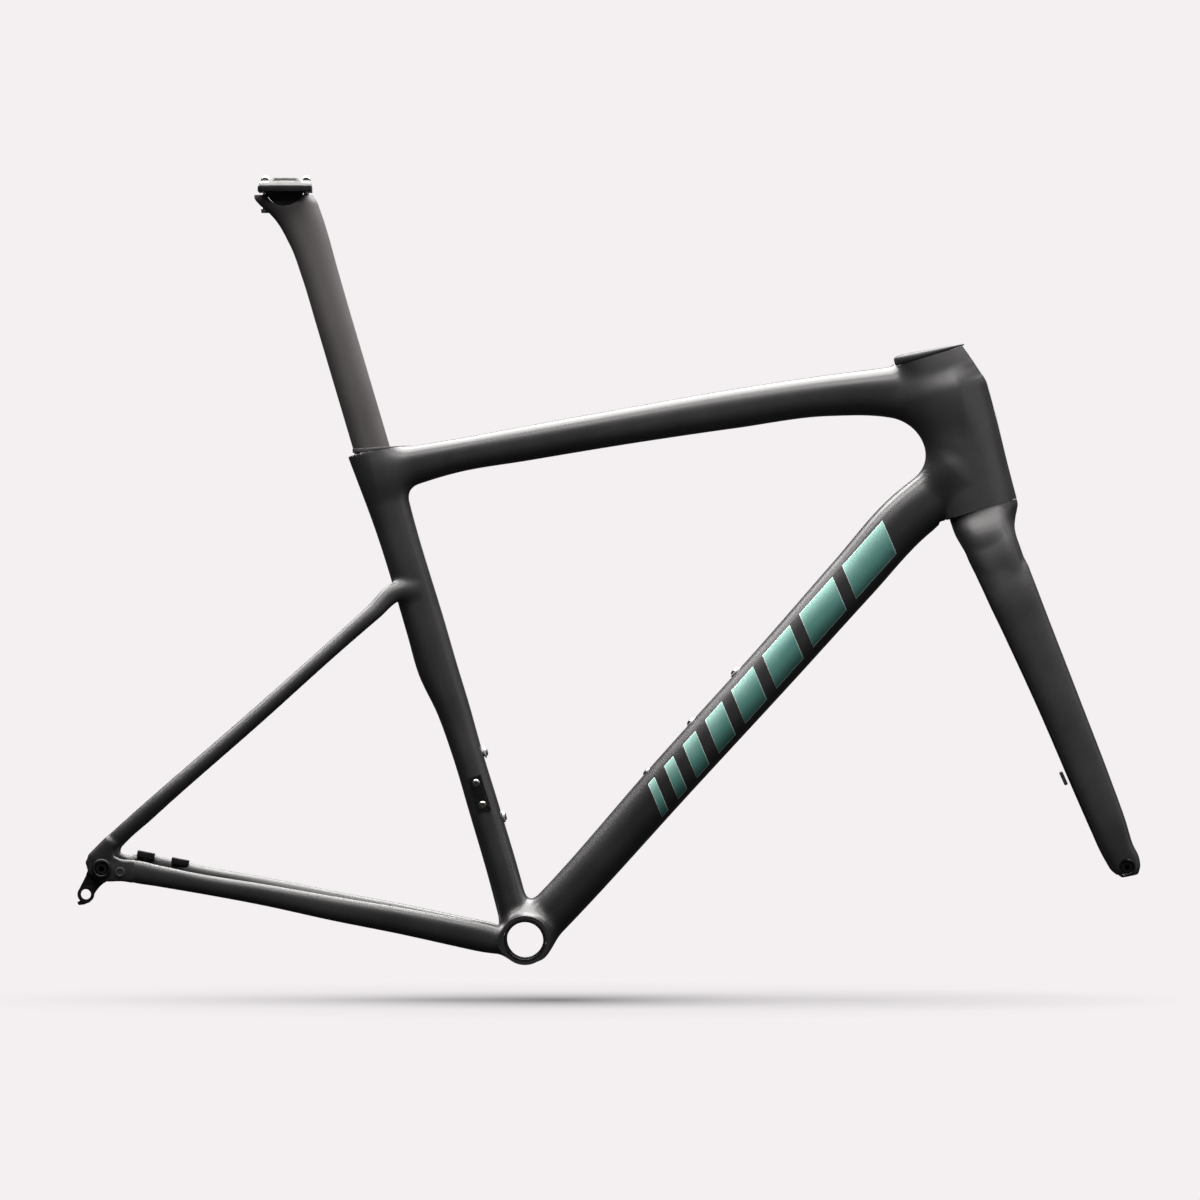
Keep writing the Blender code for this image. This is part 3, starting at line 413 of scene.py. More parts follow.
def turned(name, axis, profile, sides=64):
    """Turns a closed (radius, height) outline about the frame's w axis."""
    bm = bmesh.new()
    made = []
    for radius, height in profile:
        if radius == 0:
            made.append([bm.verts.new(axis.at(0, 0, height) * MM)])
            continue
        made.append(add_ring(bm, [axis.at(radius * math.cos(a), radius * math.sin(a), height)
                                  for a in turns(sides)]))
    for ring_a, ring_b in zip(made, made[1:] + made[:1]):
        if len(ring_a) == 1 and len(ring_b) == 1:
            continue
        for i in range(sides):
            j = (i + 1) % sides
            corners = [ring_a[i % len(ring_a)], ring_a[j % len(ring_a)],
                       ring_b[j % len(ring_b)], ring_b[i % len(ring_b)]]
            bm.faces.new(list(dict.fromkeys(corners)))
    return mesh_from(name, bm)


def prism(name, axis, outline, low, high):
    return loft(name, [[axis.at(u, v, w) for u, v in outline] for w in (low, high)])


def side_plate(name, outline, y_low, y_high):
    return loft(name, [[Vector((x, y, z)) for x, z in outline] for y in (y_low, y_high)])


def box(name, axis, u, v, w):
    return prism(name, axis, [(u[0], v[0]), (u[1], v[0]), (u[1], v[1]), (u[0], v[1])], w[0], w[1])


def rod(name, axis, radius, low, high, sides=64):
    return turned(name, axis, [(0, low), (radius, low), (radius, high), (0, high)], sides)


def apply_modifiers(piece):
    graph = bpy.context.evaluated_depsgraph_get()
    mesh = bpy.data.meshes.new_from_object(piece.evaluated_get(graph))
    piece.modifiers.clear()
    piece.data = mesh


def boolean(piece, tools, operation="DIFFERENCE", solver="MANIFOLD"):
    """Cuts or joins with tools at once, and throws the tools away."""
    for tool in tools:
        modifier = piece.modifiers.new("tool", "BOOLEAN")
        modifier.object = tool
        modifier.operation = operation
        modifier.solver = solver
    apply_modifiers(piece)
    for tool in tools:
        bpy.data.objects.remove(tool, do_unlink=True)


def bevelled(piece, width, segments=3, angle=35):
    modifier = piece.modifiers.new("bevel", "BEVEL")
    modifier.width = width * MM
    modifier.segments = segments
    modifier.limit_method = "ANGLE"
    modifier.angle_limit = math.radians(angle)
    modifier.harden_normals = False
    apply_modifiers(piece)
    return smooth_shade(piece, 50)


def arc(centre, radius, start, end, count):
    """Points on a circle from the start angle to the end angle, in degrees."""
    angles = [math.radians(start + (end - start) * i / count) for i in range(count + 1)]
    return [(centre[0] + radius * math.cos(a), centre[1] + radius * math.sin(a)) for a in angles]


def hexagon(radius):
    return [(radius * math.cos(math.radians(60 * i)), radius * math.sin(math.radians(60 * i)))
            for i in range(6)]


def moulding(name, starters, field, voxel=1.9):
    """One smooth skin: joins rough solids, remeshes them and settles each point on the field."""
    bm = bmesh.new()
    for starter in starters:
        bm.from_mesh(starter.data)
        bpy.data.objects.remove(starter, do_unlink=True)
    piece = mesh_from(name, bm)
    for _ in range(2):
        modifier = piece.modifiers.new("voxels", "REMESH")
        modifier.mode = "VOXEL"
        modifier.voxel_size = voxel * MM
        apply_modifiers(piece)
        settle(piece, field)
    return piece


def slope(field, points, reach=0.3):
    """Unit direction in which a field grows fastest."""
    result = np.empty(points.shape)
    for axis in range(3):
        offset = np.zeros(3)
        offset[axis] = reach
        result[:, axis] = field(points + offset) - field(points - offset)
    return result / np.maximum(np.linalg.norm(result, axis=1), 1e-9)[:, None]


def settle(piece, field, rounds=5):
    """Moves points onto the field along their normals, and strays along the field's own slope."""
    mesh = piece.data
    count = len(mesh.vertices)
    points = np.empty(count * 3)
    normals = np.empty(count * 3)
    for turn in range(rounds):
        mesh.vertices.foreach_get("co", points)
        mesh.vertex_normals.foreach_get("vector", normals)
        place = points.reshape(-1, 3) * 1000
        step = np.clip(field(place), -4, 4)
        direction = normals.reshape(-1, 3).copy()
        stray = np.nonzero(np.abs(step) > 0.5)[0]
        if turn and len(stray):
            direction[stray] = slope(field, place[stray])
        place -= direction * (step * 0.9)[:, None]
        mesh.vertices.foreach_set("co", (place / 1000).ravel())
        mesh.update()


# ---------------- carbon mouldings
def frame_sweeps():
    sweeps = {
        "head": Sweep(steering_stations(HEAD_TUBE), 2.3, 0.24),
        "top": Sweep(TOP_TUBE, 2.6),
        "down": Sweep(DOWN_TUBE, 2.7),
        "seat": Sweep(SEAT_TUBE, 2.5, 0.1),
    }
    for side, turn in (("left", list), ("right", mirrored)):
        rows = CHAINSTAY
        if side == "left":
            rows = [(row[0], row[1] + rise, *row[2:]) for row, rise in zip(CHAINSTAY, LEFT_RISE)]
        sweeps[f"chain_{side}"] = Sweep(turn(rows), 2.5, 0.1)
        sweeps[f"stay_{side}"] = Sweep(turn(SEATSTAY), 2.1)
    return sweeps


SWEEPS = frame_sweeps()
SHELL = Cylinder((0, 0), BB_OUTER_R, BB_HALF_WIDTH + 3)
DROPOUTS = {"left": Plate(DROPOUT, *LEFT_DROPOUT, 2.2), "right": Plate(DROPOUT, *RIGHT_DROPOUT, 2)}


def along_steering(points):
    """Height of each point along the steering axis."""
    return points[:, 0] * STEERING.w.x + points[:, 2] * STEERING.w.z


def rise(values, start, end):
    """A smooth step from 0 at start to 1 at end."""
    t = np.clip((values - start) / (end - start), 0, 1)
    return t * t * (3 - 2 * t)


def frame_field(points):
    """The frame: its tubes joined with fillets that widen away from the head tube's ends."""
    fields = {name: sweep.field(points) for name, sweep in SWEEPS.items()}
    along = along_steering(points)
    main = blend(fields["head"], fields["top"], 9 + 13 * rise(along, 412, 385))
    main = blend(main, fields["down"], 2 + 17 * rise(along, 270, 320))
    rear = blend(fields["seat"], SHELL.field(points), 12)
    main = blend(main, rear, 14)
    for side in ("left", "right"):
        stays = blend(fields[f"chain_{side}"], DROPOUTS[side].field(points), 3)
        stays = blend(stays, fields[f"stay_{side}"], 4.5)
        main = blend(main, stays, 7)
    return main


def make_frame_skin():
    """The frame as one skin, cut to its joints, holes and inner faces."""
    starters = [loft(name, sweep.rings(24)) for name, sweep in SWEEPS.items()]
    starters += [rod("shell", cross_frame(0, 0), BB_OUTER_R, -SHELL.half_width, SHELL.half_width),
                 side_plate("left", DROPOUT, *LEFT_DROPOUT),
                 side_plate("right", DROPOUT, *RIGHT_DROPOUT)]
    skin = moulding("frame_skin", starters, frame_field)
    axle = cross_frame(*REAR_AXLE)
    under_nose = [(352, 350), (366, 366), (379, 380.4), (388, 389.4), (396, 397),
                  (403, 402.8), (409.5, 405.6), (430, 398), (430, 340)]
    seat_hole = [[SEAT.at(u, v, t) for u, v in post_outline(0.25)] for t in (-110, 30)]
    tools = [
        box("below_head", STEERING, (HEAD_REAR, 640), (-60, 60), (180, HEAD_LOW)),
        rod("crown_turn", STEERER, CROWN_TURN_R, 180, HEAD_LOW, 96),
        box("above_head", STEERING, (499.7, 640), (-60, 60), (HEAD_HIGH, 480)),
        side_plate("under_nose", under_nose, -60, 60),
        box("above_seat", SEAT_MOUTH, (-60, 34), (-40, 40), (0, 60)),
        loft("seat_hole", seat_hole),
        box("shell_left", WORLD, (-60, 60), (BB_HALF_WIDTH, 60), (-60, 40)),
        box("shell_right", WORLD, (-60, 60), (-60, -BB_HALF_WIDTH), (-60, 40)),
        rod("bore", cross_frame(0, 0), SLEEVE_OUTER_R + 0.15, -60, 60, 96),
        rod("head_low", STEERER, 24.65, 240, 276, 96),
        rod("head_high", STEERER, 21.05, 412, 470, 96),
        rod("head_through", STEERER, 18.5, 240, 470, 96),
        rod("axle_left", axle, AXLE_HOLE_R, 60, 90),
        rod("axle_right", axle, 8, -90, -60),
        rod("wire_port", cross_frame(*WIRE_PORT), 3.5, -90, -60),
        box("inside_left", WORLD, (-424, -388), (60, LEFT_DROPOUT[0]), (50, 90)),
        box("inside_right", WORLD, (-424, -388), (RIGHT_DROPOUT[1], -60), (50, 90)),
    ]
    boolean(skin, tools)
    return smooth_shade(skin, 38)


def post_outline(grow):
    """The seatpost's section as (forward, left) points, grown by a clearance."""
    section = [superellipse(angle, *POST_SHAPE) for angle in turns(72)]
    return [((POST_DEPTH / 2 + grow) * up, (POST_WIDTH / 2 + grow) * side) for up, side in section]


CROWN_SWEEP = Sweep(steering_stations(CROWN), 3, 0.12)
SHOULDER_SWEEP = Sweep(steering_stations(SHOULDERS), 4.5, 0)
BLADES = {"left": Sweep(front_first(FORK_BLADE), 2.6, 0.08),
          "right": Sweep(front_first(mirrored(FORK_BLADE)), 2.6, 0.08)}


def fork_field(points):
    """The fork: crown, shoulders and blades joined, with an arch that widens downward."""
    along = along_steering(points)
    arch = np.hypot(points[:, 1], np.maximum(along - ARCH_TOP, 0)) - ARCH_R
    arch = arch - 0.1 * np.clip(ARCH_TOP - along, 0, 50)
    body = blend(CROWN_SWEEP.field(points), SHOULDER_SWEEP.field(points), 6)
    body = blend(body, BLADES["left"].field(points), 2.5)
    body = blend(body, BLADES["right"].field(points), 2.5)
    return carve(body, arch, 7)


def make_fork_skin():
    """The fork as one skin, cut to its top, holes and the hub's space."""
    wheel = Frame(STEERING.at(STEERING_N, 0, ARCH_TOP), (0, 1, 0), STEERING.u)
    starters = [loft("crown", CROWN_SWEEP.rings(24)), loft("shoulders", SHOULDER_SWEEP.rings(24))]
    for starter in starters:
        boolean(starter, [rod("arch", wheel, ARCH_R, -60, 60),
                          box("under_arch", STEERING, (440, 640), (-ARCH_R, ARCH_R), (150, ARCH_TOP))])
    starters += [loft(side, blade.rings(24)) for side, blade in BLADES.items()]
    skin = moulding("fork_skin", starters, fork_field, 1.7)
    axle = cross_frame(*FRONT_AXLE)
    tools = [
        box("above_crown", STEERING, (440, 640), (-60, 60), (CROWN_TOP, 300)),
        rod("steerer_hole", STEERER, 17.6, 255, 300, 96),
        rod("axle_left", axle, AXLE_HOLE_R, 40, 80),
        rod("axle_right", axle, 8.1, -80, -40),
        box("hub_space", WORLD, (540, 600), (-50, 50), (50, 98)),
    ]
    boolean(skin, tools)
    return smooth_shade(skin, 38)


# ---------------- materials
class Paint:
    """A procedural material being put together; its patterns lie in object space, in metres."""

    def __init__(self, name):
        self.material = bpy.data.materials.new(name)
        self.material.use_nodes = True
        self.shader = self.material.node_tree.nodes["Principled BSDF"]

    def add(self, kind, **inputs):
        """A new node with some inputs set; underscores in their names stand for spaces."""
        node = self.material.node_tree.nodes.new("ShaderNode" + kind)
        self.set(node, **inputs)
        return node

    def set(self, node, **inputs):
        for name, value in inputs.items():
            node.inputs[name.replace("_", " ")].default_value = value

    def link(self, output, node, name):
        self.material.node_tree.links.new(output, node.inputs[name])

    def place(self, scale=(1, 1, 1), rotation=(0, 0, 0), location=(0, 0, 0)):
        mapping = self.add("Mapping", Scale=scale, Rotation=rotation, Location=location)
        self.link(self.add("TexCoord").outputs["Object"], mapping, "Vector")
        return mapping.outputs["Vector"]

    def noise(self, point, scale, detail=3, roughness=0.5):
        texture = self.add("TexNoise", Scale=scale, Detail=detail, Roughness=roughness)
        self.link(point, texture, "Vector")
        return texture.outputs["Fac"]

    def ramp(self, value, stops):
        node = self.add("ValToRGB")
        elements = node.color_ramp.elements
        while len(elements) < len(stops):
            elements.new(0.5)
        for element, (place, colour) in zip(elements, stops):
            element.position = place
            element.color = (*colour, 1)
        self.link(value, node, "Fac")
        return node.outputs["Color"]

    def spread(self, value, low, high, start=0.3, end=0.7):
        """Maps values between start and end onto low to high."""
        node = self.add("MapRange", From_Min=start, From_Max=end, To_Min=low, To_Max=high)
        self.link(value, node, "Value")
        return node.outputs["Result"]

    def mix(self, a, b):
        """Mostly a, with some of b."""
        node = self.add("Mix")
        node.data_type = "FLOAT"
        self.link(a, node, 2)
        self.link(b, node, 3)
        node.inputs[0].default_value = 0.35
        return node.outputs[0]

    def colour(self, value, stops):
        self.link(self.ramp(value, stops), self.shader, "Base Color")

    def roughness(self, value, low, high):
        self.link(self.spread(value, low, high), self.shader, "Roughness")

    def bump(self, height, strength, distance):
        node = self.add("Bump", Strength=strength, Distance=distance)
        self.link(height, node, "Height")
        self.link(node.outputs["Normal"], self.shader, "Normal")


def carbon(name, dark, light, roughness, coat=0.2, grain=(900, 900, 60)):
    """Satin carbon: broad tone patches, fine fibre streaks and a soft clear coat."""
    paint = Paint(name)
    plain = paint.place()
    patches = paint.noise(plain, 11, 4, 0.55)
    fibres = paint.noise(paint.place(grain, (0, 0.7, 0)), 1, 2)
    paint.colour(paint.mix(patches, fibres), [(0.32, dark), (0.68, light)])
    paint.roughness(patches, roughness - 0.05, roughness + 0.06)
    paint.bump(paint.noise(plain, 1800, 2), 0.03, 0.0001)
    paint.set(paint.shader, Coat_Weight=coat, Coat_Roughness=0.32, IOR=1.5)
    return paint.material


def metal(name, dark, light, roughness, metallic=1):
    """Machined metal with turning or brushing marks and small tone changes."""
    paint = Paint(name)
    streaks = paint.noise(paint.place((60, 60, 900)), 1)
    paint.colour(paint.noise(paint.place(), 70), [(0.3, dark), (0.7, light)])
    paint.roughness(streaks, roughness - 0.06, roughness + 0.08)
    paint.bump(streaks, 0.08, 0.0002)
    paint.set(paint.shader, Metallic=metallic)
    return paint.material


def rubber(name):
    """Matt black rubber with a fine grain."""
    paint = Paint(name)
    plain = paint.place()
    patches = paint.noise(plain, 60, 4)
    paint.colour(patches, [(0.3, (0.010, 0.010, 0.010)), (0.7, (0.020, 0.019, 0.019))])
    paint.roughness(patches, 0.55, 0.75)
    paint.bump(paint.noise(plain, 1500), 0.15, 0.0003)
    return paint.material


def pearl_with_painted_shade(name, stops, roughness):
    """Pearl paint in the graphic's own colours, with painted shade and highlight across the tube: darker
    low on its side, lighter toward its upper edge. Its tone also shifts in slow random patches along it.
    """
    paint = Paint(name)
    across = paint.add("VectorMath")
    across.operation = "DOT_PRODUCT"
    across.inputs[1].default_value = DOWN_TUBE_UP
    paint.link(paint.add("TexCoord").outputs["Object"], across, 0)
    # painted shade and highlight: 0 low on the tube's side, 1 toward its upper edge, lighter where the
    # overhead light falls
    height = paint.spread(across.outputs["Value"], 0, 1, -0.024, 0.010)
    patches = paint.noise(paint.place(), 16)
    paint.colour(paint.mix(height, patches), stops)
    paint.roughness(paint.noise(paint.place(), 2600, 1), roughness - 0.05, roughness + 0.10)
    paint.set(paint.shader, Metallic=0.35, Coat_Weight=0.4, Coat_Roughness=0.2)
    return paint.material


MATERIALS = {
    # The graphics' ramps run from painted shade low on the down tube to a painted highlight at its upper
    # edge.
    "graphic_teal": pearl_with_painted_shade("graphic_teal", [(0.15, (0.025, 0.085, 0.077)), (0.5, (0.095, 0.26, 0.23)),
                                           (0.85, (0.34, 0.58, 0.52))], 0.36),
    "graphic_light": pearl_with_painted_shade("graphic_light", [(0.2, (0.30, 0.42, 0.39)), (0.8, (0.62, 0.78, 0.73))], 0.4),
    "frame_carbon": carbon("frame_carbon", (0.010, 0.0094, 0.0102), (0.018, 0.0168, 0.0178), 0.38),
    "fork_carbon": carbon("fork_carbon", (0.011, 0.0104, 0.0110), (0.019, 0.0178, 0.0184), 0.40),
    "post_carbon": carbon("post_carbon", (0.034, 0.030, 0.031), (0.052, 0.046, 0.047), 0.50, 0.05,
                          (1200, 1200, 80)),
    "black_alloy": metal("black_alloy", (0.012, 0.012, 0.013), (0.024, 0.024, 0.025), 0.34, 0.7),
    # Light grey: the rivet nuts' own alloy colour; on the clamp's upper plate it is a painted highlight
    # standing in for overhead light on a glossy black plate.
    "grey_alloy": metal("grey_alloy", (0.40, 0.40, 0.395), (0.50, 0.50, 0.49), 0.42, 0.3),
    "bolt_steel": metal("bolt_steel", (0.30, 0.29, 0.28), (0.50, 0.49, 0.47), 0.24),
    "rubber": rubber("rubber"),
    "cover_plastic": carbon("cover_plastic", (0.007, 0.007, 0.008), (0.012, 0.012, 0.013), 0.55, 0,
                            (700, 700, 700)),
}


def finish(piece, slot, body, *nodes):
    """Gives a piece its material, its body and the CAD nodes it stands in for."""
    piece.data.materials.clear()
    piece.data.materials.append(MATERIALS[slot])
    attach(piece, body)
    if nodes:
        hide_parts(*nodes)
    return piece


def dress_cad_nodes():
    """Every CAD node that stays visible gets the procedural material of its slot."""
    slots = {entry["node"]: entry["material_slot"] for entry in frame["record"]["subparts"]}
    for name, node in frame["nodes"].items():
        node.data.materials.clear()
        node.data.materials.append(MATERIALS[slots[name]])


dress_cad_nodes()
FRAME_SKIN = finish(make_frame_skin(), "frame_carbon", "frame", "head_tube", "top_tube", "down_tube",
                    "seat_tube", "bottom_bracket_shell", "chainstay_left", "chainstay_right",
                    "seatstay_left", "seatstay_right", "dropout_left", "dropout_right")
finish(make_fork_skin(), "fork_carbon", "fork", "fork_crown", "fork_blade_left", "fork_blade_right")


# ---------------- fittings
def socket_bolt(name, axis, head_r, head_h, shank_r, length):
    """A domed screw with a deep hexagon socket; the head stands on the frame's origin."""
    dome = [(head_r * math.cos(a), head_h * (0.4 + 0.6 * math.sin(a)))
            for a in [math.radians(d) for d in (8, 24, 40, 54, 66)]]
    bolt = turned(name, axis, [(0, -length), (shank_r, -length), (shank_r, 0), (head_r * 0.94, 0),
                               (head_r, head_h * 0.12), *dome, (0, head_h)], 48)
    boolean(bolt, [prism("socket", axis, hexagon(head_r * 0.44), head_h * 0.3, head_h + 3)])
    return smooth_shade(bolt, 30)


def make_bottle_fittings():
    """Threaded inserts with their screws: three along the down tube, two up the seat tube."""
    down = Frame((160.5, 0, 208), (0.659, 0, 0.752), DOWN_TUBE_UP)
    places = [(f"down_tube_{i}", Frame(down.origin + Vector((0.659, 0, 0.752)) * offset, down.u, down.w))
              for i, offset in enumerate((-64, 0, 64), 1)]
    places += [(f"seat_tube_{i}", Frame(point, (-0.29, 0, 0.957), (0.957, 0, 0.29)))
               for i, point in enumerate(((-40, 0, 180), (-22, 0, 118)), 1)]
    for name, axis in places:
        ring = turned(f"rivet_nut_{name}", axis, [
            (2.8, -9), (4.3, -9), (4.3, 0.3), (5.7, 0.3), (6, 0.6), (6, 1.7), (5.7, 2),
            (5, 2), (4.8, 1.8), (4.8, 1.2), (2.8, 1.2)], 64)
        finish(smooth_shade(ring, 30), "grey_alloy", "frame", f"bottle_boss_{name}")
        bolt = socket_bolt(f"cage_bolt_{name}", axis.shifted(0, 0, 1.5), 4.4, 2.8, 2.5, 9)
        finish(bolt, "bolt_steel", "frame", f"bottle_bolt_{name}")


def make_derailleur_plate():
    """The front derailleur's plate on the seat tube's right side, with its two screws."""
    axis = tilted_frame(-43.8, 140, 16.5)
    plate = box("derailleur_plate", axis, (-6.6, 6.6), (-19.2, -16.1), (-17.5, 17.5))
    tools = []
    for name, height in (("upper", 11), ("lower", -11)):
        screw = Frame(axis.at(0, -18.3, height), axis.u, (0, -1, 0))
        tools += [rod("hole", screw, 2.4, -8, 3), rod("recess", screw, 4.2, -0.3, 3)]
        bolt = socket_bolt(f"derailleur_screw_{name}", screw, 3.7, 2, 2.1, 7)
        finish(bolt, "bolt_steel", "frame", f"front_derailleur_screw_{name}")
    boolean(plate, tools, solver="EXACT")
    finish(bevelled(plate, 0.7), "black_alloy", "frame", "front_derailleur_mount")


def make_brake_pads():
    """The two seats for the rear caliper on the left chainstay."""
    along, up = Vector((0.981, 0, -0.194)), Vector((0.194, 0, 0.981))
    for name, offset in (("rear", -17), ("front", 17)):
        middle = Vector((-350, 65.5 if offset > 0 else 71.5, 76.2))
        axis = Frame(middle + along * offset, along, up)
        pad = box(f"caliper_pad_{name}", axis, (-8.5, 8.5), (-6.5, 6.5), (-3, 3.4))
        boolean(pad, [rod("hole", axis, 2.7, -12, 12),
                      box("notch", axis, (-9, -6.6), (-2.2, 2.2), (1.6, 5)),
                      box("key", axis, (6.6, 9), (-2.2, 2.2), (1.6, 5))], solver="EXACT")
        finish(bevelled(pad, 0.6), "black_alloy", "frame", f"brake_pad_{name}")


def make_hanger():
    """The derailleur hanger: round the axle, down to its eye, with the small stop behind it."""
    outline = [*arc(REAR_AXLE, 12, -15, 165, 28), (-419, 62),
               *arc(HANGER_EYE, 8, 150, 300, 20),
               (-411.5, 44), (-408.6, 48.5), (-405.4, 52.5), (-401.6, 55.8), (-396.5, 58.5)]
    hanger = side_plate("hanger_plate", outline, -75, -71)
    eye = cross_frame(*HANGER_EYE)
    stop = [(-421, 41), (-426.5, 37.9), (-426.3, 36.4), (-424.9, 34.9), (-420, 35.6), (-414, 38)]
    boolean(hanger, [rod("eye", eye, 8, -79, -73, 96), side_plate("stop", stop, -78.5, -74)],
            "UNION", "EXACT")
    boolean(hanger, [rod("eye_hole", eye, 4.9, -90, -60),
                     rod("axle_hole", cross_frame(*REAR_AXLE), AXLE_HOLE_R, -90, -60)], solver="EXACT")
    finish(bevelled(hanger, 0.45), "black_alloy", "frame", "derailleur_hanger")


def make_round_fittings():
    """Turned pieces at the axles, the bottom bracket and the wire port."""
    rear, front, bottom = cross_frame(*REAR_AXLE), cross_frame(*FRONT_AXLE), cross_frame(0, 0)
    port = cross_frame(*WIRE_PORT)
    thread = []
    for i in range(14):
        w = -31 + 1.4 * i
        thread += [(SLEEVE_BORE_R + 0.35, w), (SLEEVE_BORE_R, w + 0.7)]
    thread += [(r, -w) for r, w in reversed(thread)]
    end = BB_HALF_WIDTH
    sleeve = [(SLEEVE_BORE_R + 0.9, -end), (SLEEVE_OUTER_R, -end), (SLEEVE_OUTER_R, end),
              (SLEEVE_BORE_R + 0.9, end), (SLEEVE_BORE_R + 0.2, end - 0.8), *reversed(thread),
              (SLEEVE_BORE_R + 0.2, -end + 0.8)]
    pieces = (
        ("bracket_sleeve", bottom, sleeve, "black_alloy", "frame", "bottom_bracket_sleeve"),
        ("hanger_nut_ring", rear, [
            (AXLE_HOLE_R, -82.6), (6.9, -83), (8.3, -83), (8.8, -82.8), (9.3, -82.2), (9.6, -81.4),
            (9.6, -80.3), (7.8, -80.3), (7.8, -75.3), (AXLE_HOLE_R, -75.3)],
         "black_alloy", "frame", "hanger_nut"),
        ("wire_port_ring", port, [
            (1.6, -80.9), (2.6, -80.9), (3, -81.5), (3.7, -81.6), (4.4, -81.4), (4.8, -80.9),
            (4.8, -80.3), (3.2, -80.3), (3.2, -75.8), (1.6, -75.8)],
         "rubber", "frame", "wire_grommet"),
        ("axle_insert", front, [
            (AXLE_HOLE_R, -61.6), (6.6, -62), (7.6, -62), (7.9, -61.7), (7.9, -50),
            (AXLE_HOLE_R, -50)],
         "black_alloy", "fork", "fork_axle_insert"),
    )
    for name, axis, profile, slot, body, node in pieces:
        finish(smooth_shade(turned(name, axis, profile, 96), 30), slot, body, node)
    for name, axis, tip, shoulder in (("rear", rear, -82, 79.3), ("front", front, -61, 62.8)):
        grooves = []
        for i in range(7):
            grooves += [(AXLE_R, tip + 1.2 + 1.5 * i), (AXLE_R - 0.5, tip + 1.9 + 1.5 * i)]
        axle = turned(f"{name}_axle", axis, [
            (0, tip), (AXLE_R - 0.9, tip), *grooves, (AXLE_R, tip + 12.5), (AXLE_R, shoulder),
            (8.8, shoulder), (9.3, shoulder + 0.5), (9.3, shoulder + 1.2), (8.9, shoulder + 3.4),
            (8.4, shoulder + 4), (0, shoulder + 4)], 64)
        boolean(axle, [prism("socket", axis, hexagon(3.4), shoulder - 4, shoulder + 8),
                       prism("tip_socket", axis, hexagon(3), tip - 4, tip + 7)])
        finish(smooth_shade(axle, 30), "black_alloy", f"{name}_axle", f"{name}_thru_axle")


def head_ring(rear, front, half_width):
    """A ring of the head tube's narrowing section between a rear and a front point."""
    middle, half = (rear + front) / 2, (front - rear) / 2
    ring = []
    for angle in turns(96):
        up, side = superellipse(angle, *HEAD_SHAPE)
        ring.append(middle + half * up + Vector((0, half_width * side, 0)))
    return ring


def make_headset_cover():
    """The cover on the head tube, from rings given by rear height, front height and inset."""
    rows = ((422.4, 422.4, 1), (422.7, 422.6, 0.5), (424.6, 423.2, 0), (427.2, 423.7, 0),
            (428.9, 423.95, 0.25), (429.9, 424.2, 0.7), (430.6, 424.5, 1.5), (431.1, 424.8, 3),
            (431.5, 425.1, 5), (431.7, 425.4, 8))
    rings = [head_ring(STEERING.at(501 + inset, 0, rear), STEERING.at(570 - inset, 0, front),
                       23 - inset) for rear, front, inset in rows]
    cover = loft("top_cap", rings)
    boolean(cover, [rod("recess", STEERER, 19, 410, 424.6, 96)])
    finish(smooth_shade(cover, 32), "cover_plastic", "frame", "headset_cover")


def make_seal():
    """The rubber seal round the seatpost, whose top slopes down to the front."""
    side = [(-19.8, 6), (-18.8, 9.8), (-16.2, 12.9), (-12, 14.7), (-6, 15.3), (2, 15.2),
            (8, 14.5), (14, 12.4), (20, 9), (26, 5.6), (32, 2.4), (35.3, 0.9)]
    outline = side + [(36.4, 0)] + [(u, -v) for u, v in reversed(side)]
    rings = []
    for lift, fall, inset in ((0.5, 0, 0), (3.6, 0.06, 0), (4.2, 0.068, 0.012), (4.5, 0.074, 0.035)):
        rings.append([SEAT_MOUTH.at(u * (1 - inset), v * (1 - inset * 1.3), lift - fall * (u + 19.8))
                      for u, v in outline])
    seal = loft("post_seal", rings)
    hole = [[SEAT.at(u, v, t) for u, v in post_outline(0.3)] for t in (-40, 30)]
    boolean(seal, [loft("hole", hole)])
    finish(smooth_shade(seal, 40), "rubber", "frame", "seatpost_seal")


def make_post():
    """The seatpost: a straight superellipse shaft that sweeps back into the clamp's cradle."""
    straight = []
    for t in (-131, -60, 0, 60, 115):
        a, b = SEAT.at(POST_DEPTH / 2, 0, t), SEAT.at(-POST_DEPTH / 2, 0, t)
        straight.append((a.x, a.z, b.x, b.z, 0, POST_WIDTH))
    sweep = Sweep(straight + front_first(POST_HEAD), *POST_SHAPE)
    post = loft("post_shaft", sweep.rings(96, 1))
    rear, front = [WORLD.shifted(x, 0, 0) for x in CLAMP_BOLT_X.values()]
    boolean(post, [rod("cradle", cross_frame(*CLAMP_PIVOT), CLAMP_R + 0.4, -40, 40, 128),
                   rod("rear_hole", rear, 2.8, 690, 720), rod("front_hole", front, 2.8, 690, 720),
                   rod("rear_head", rear, 4.5, 685, 702.4)])
    finish(bevelled(post, 0.8, 3, 50), "post_carbon", "seatpost", "seatpost")


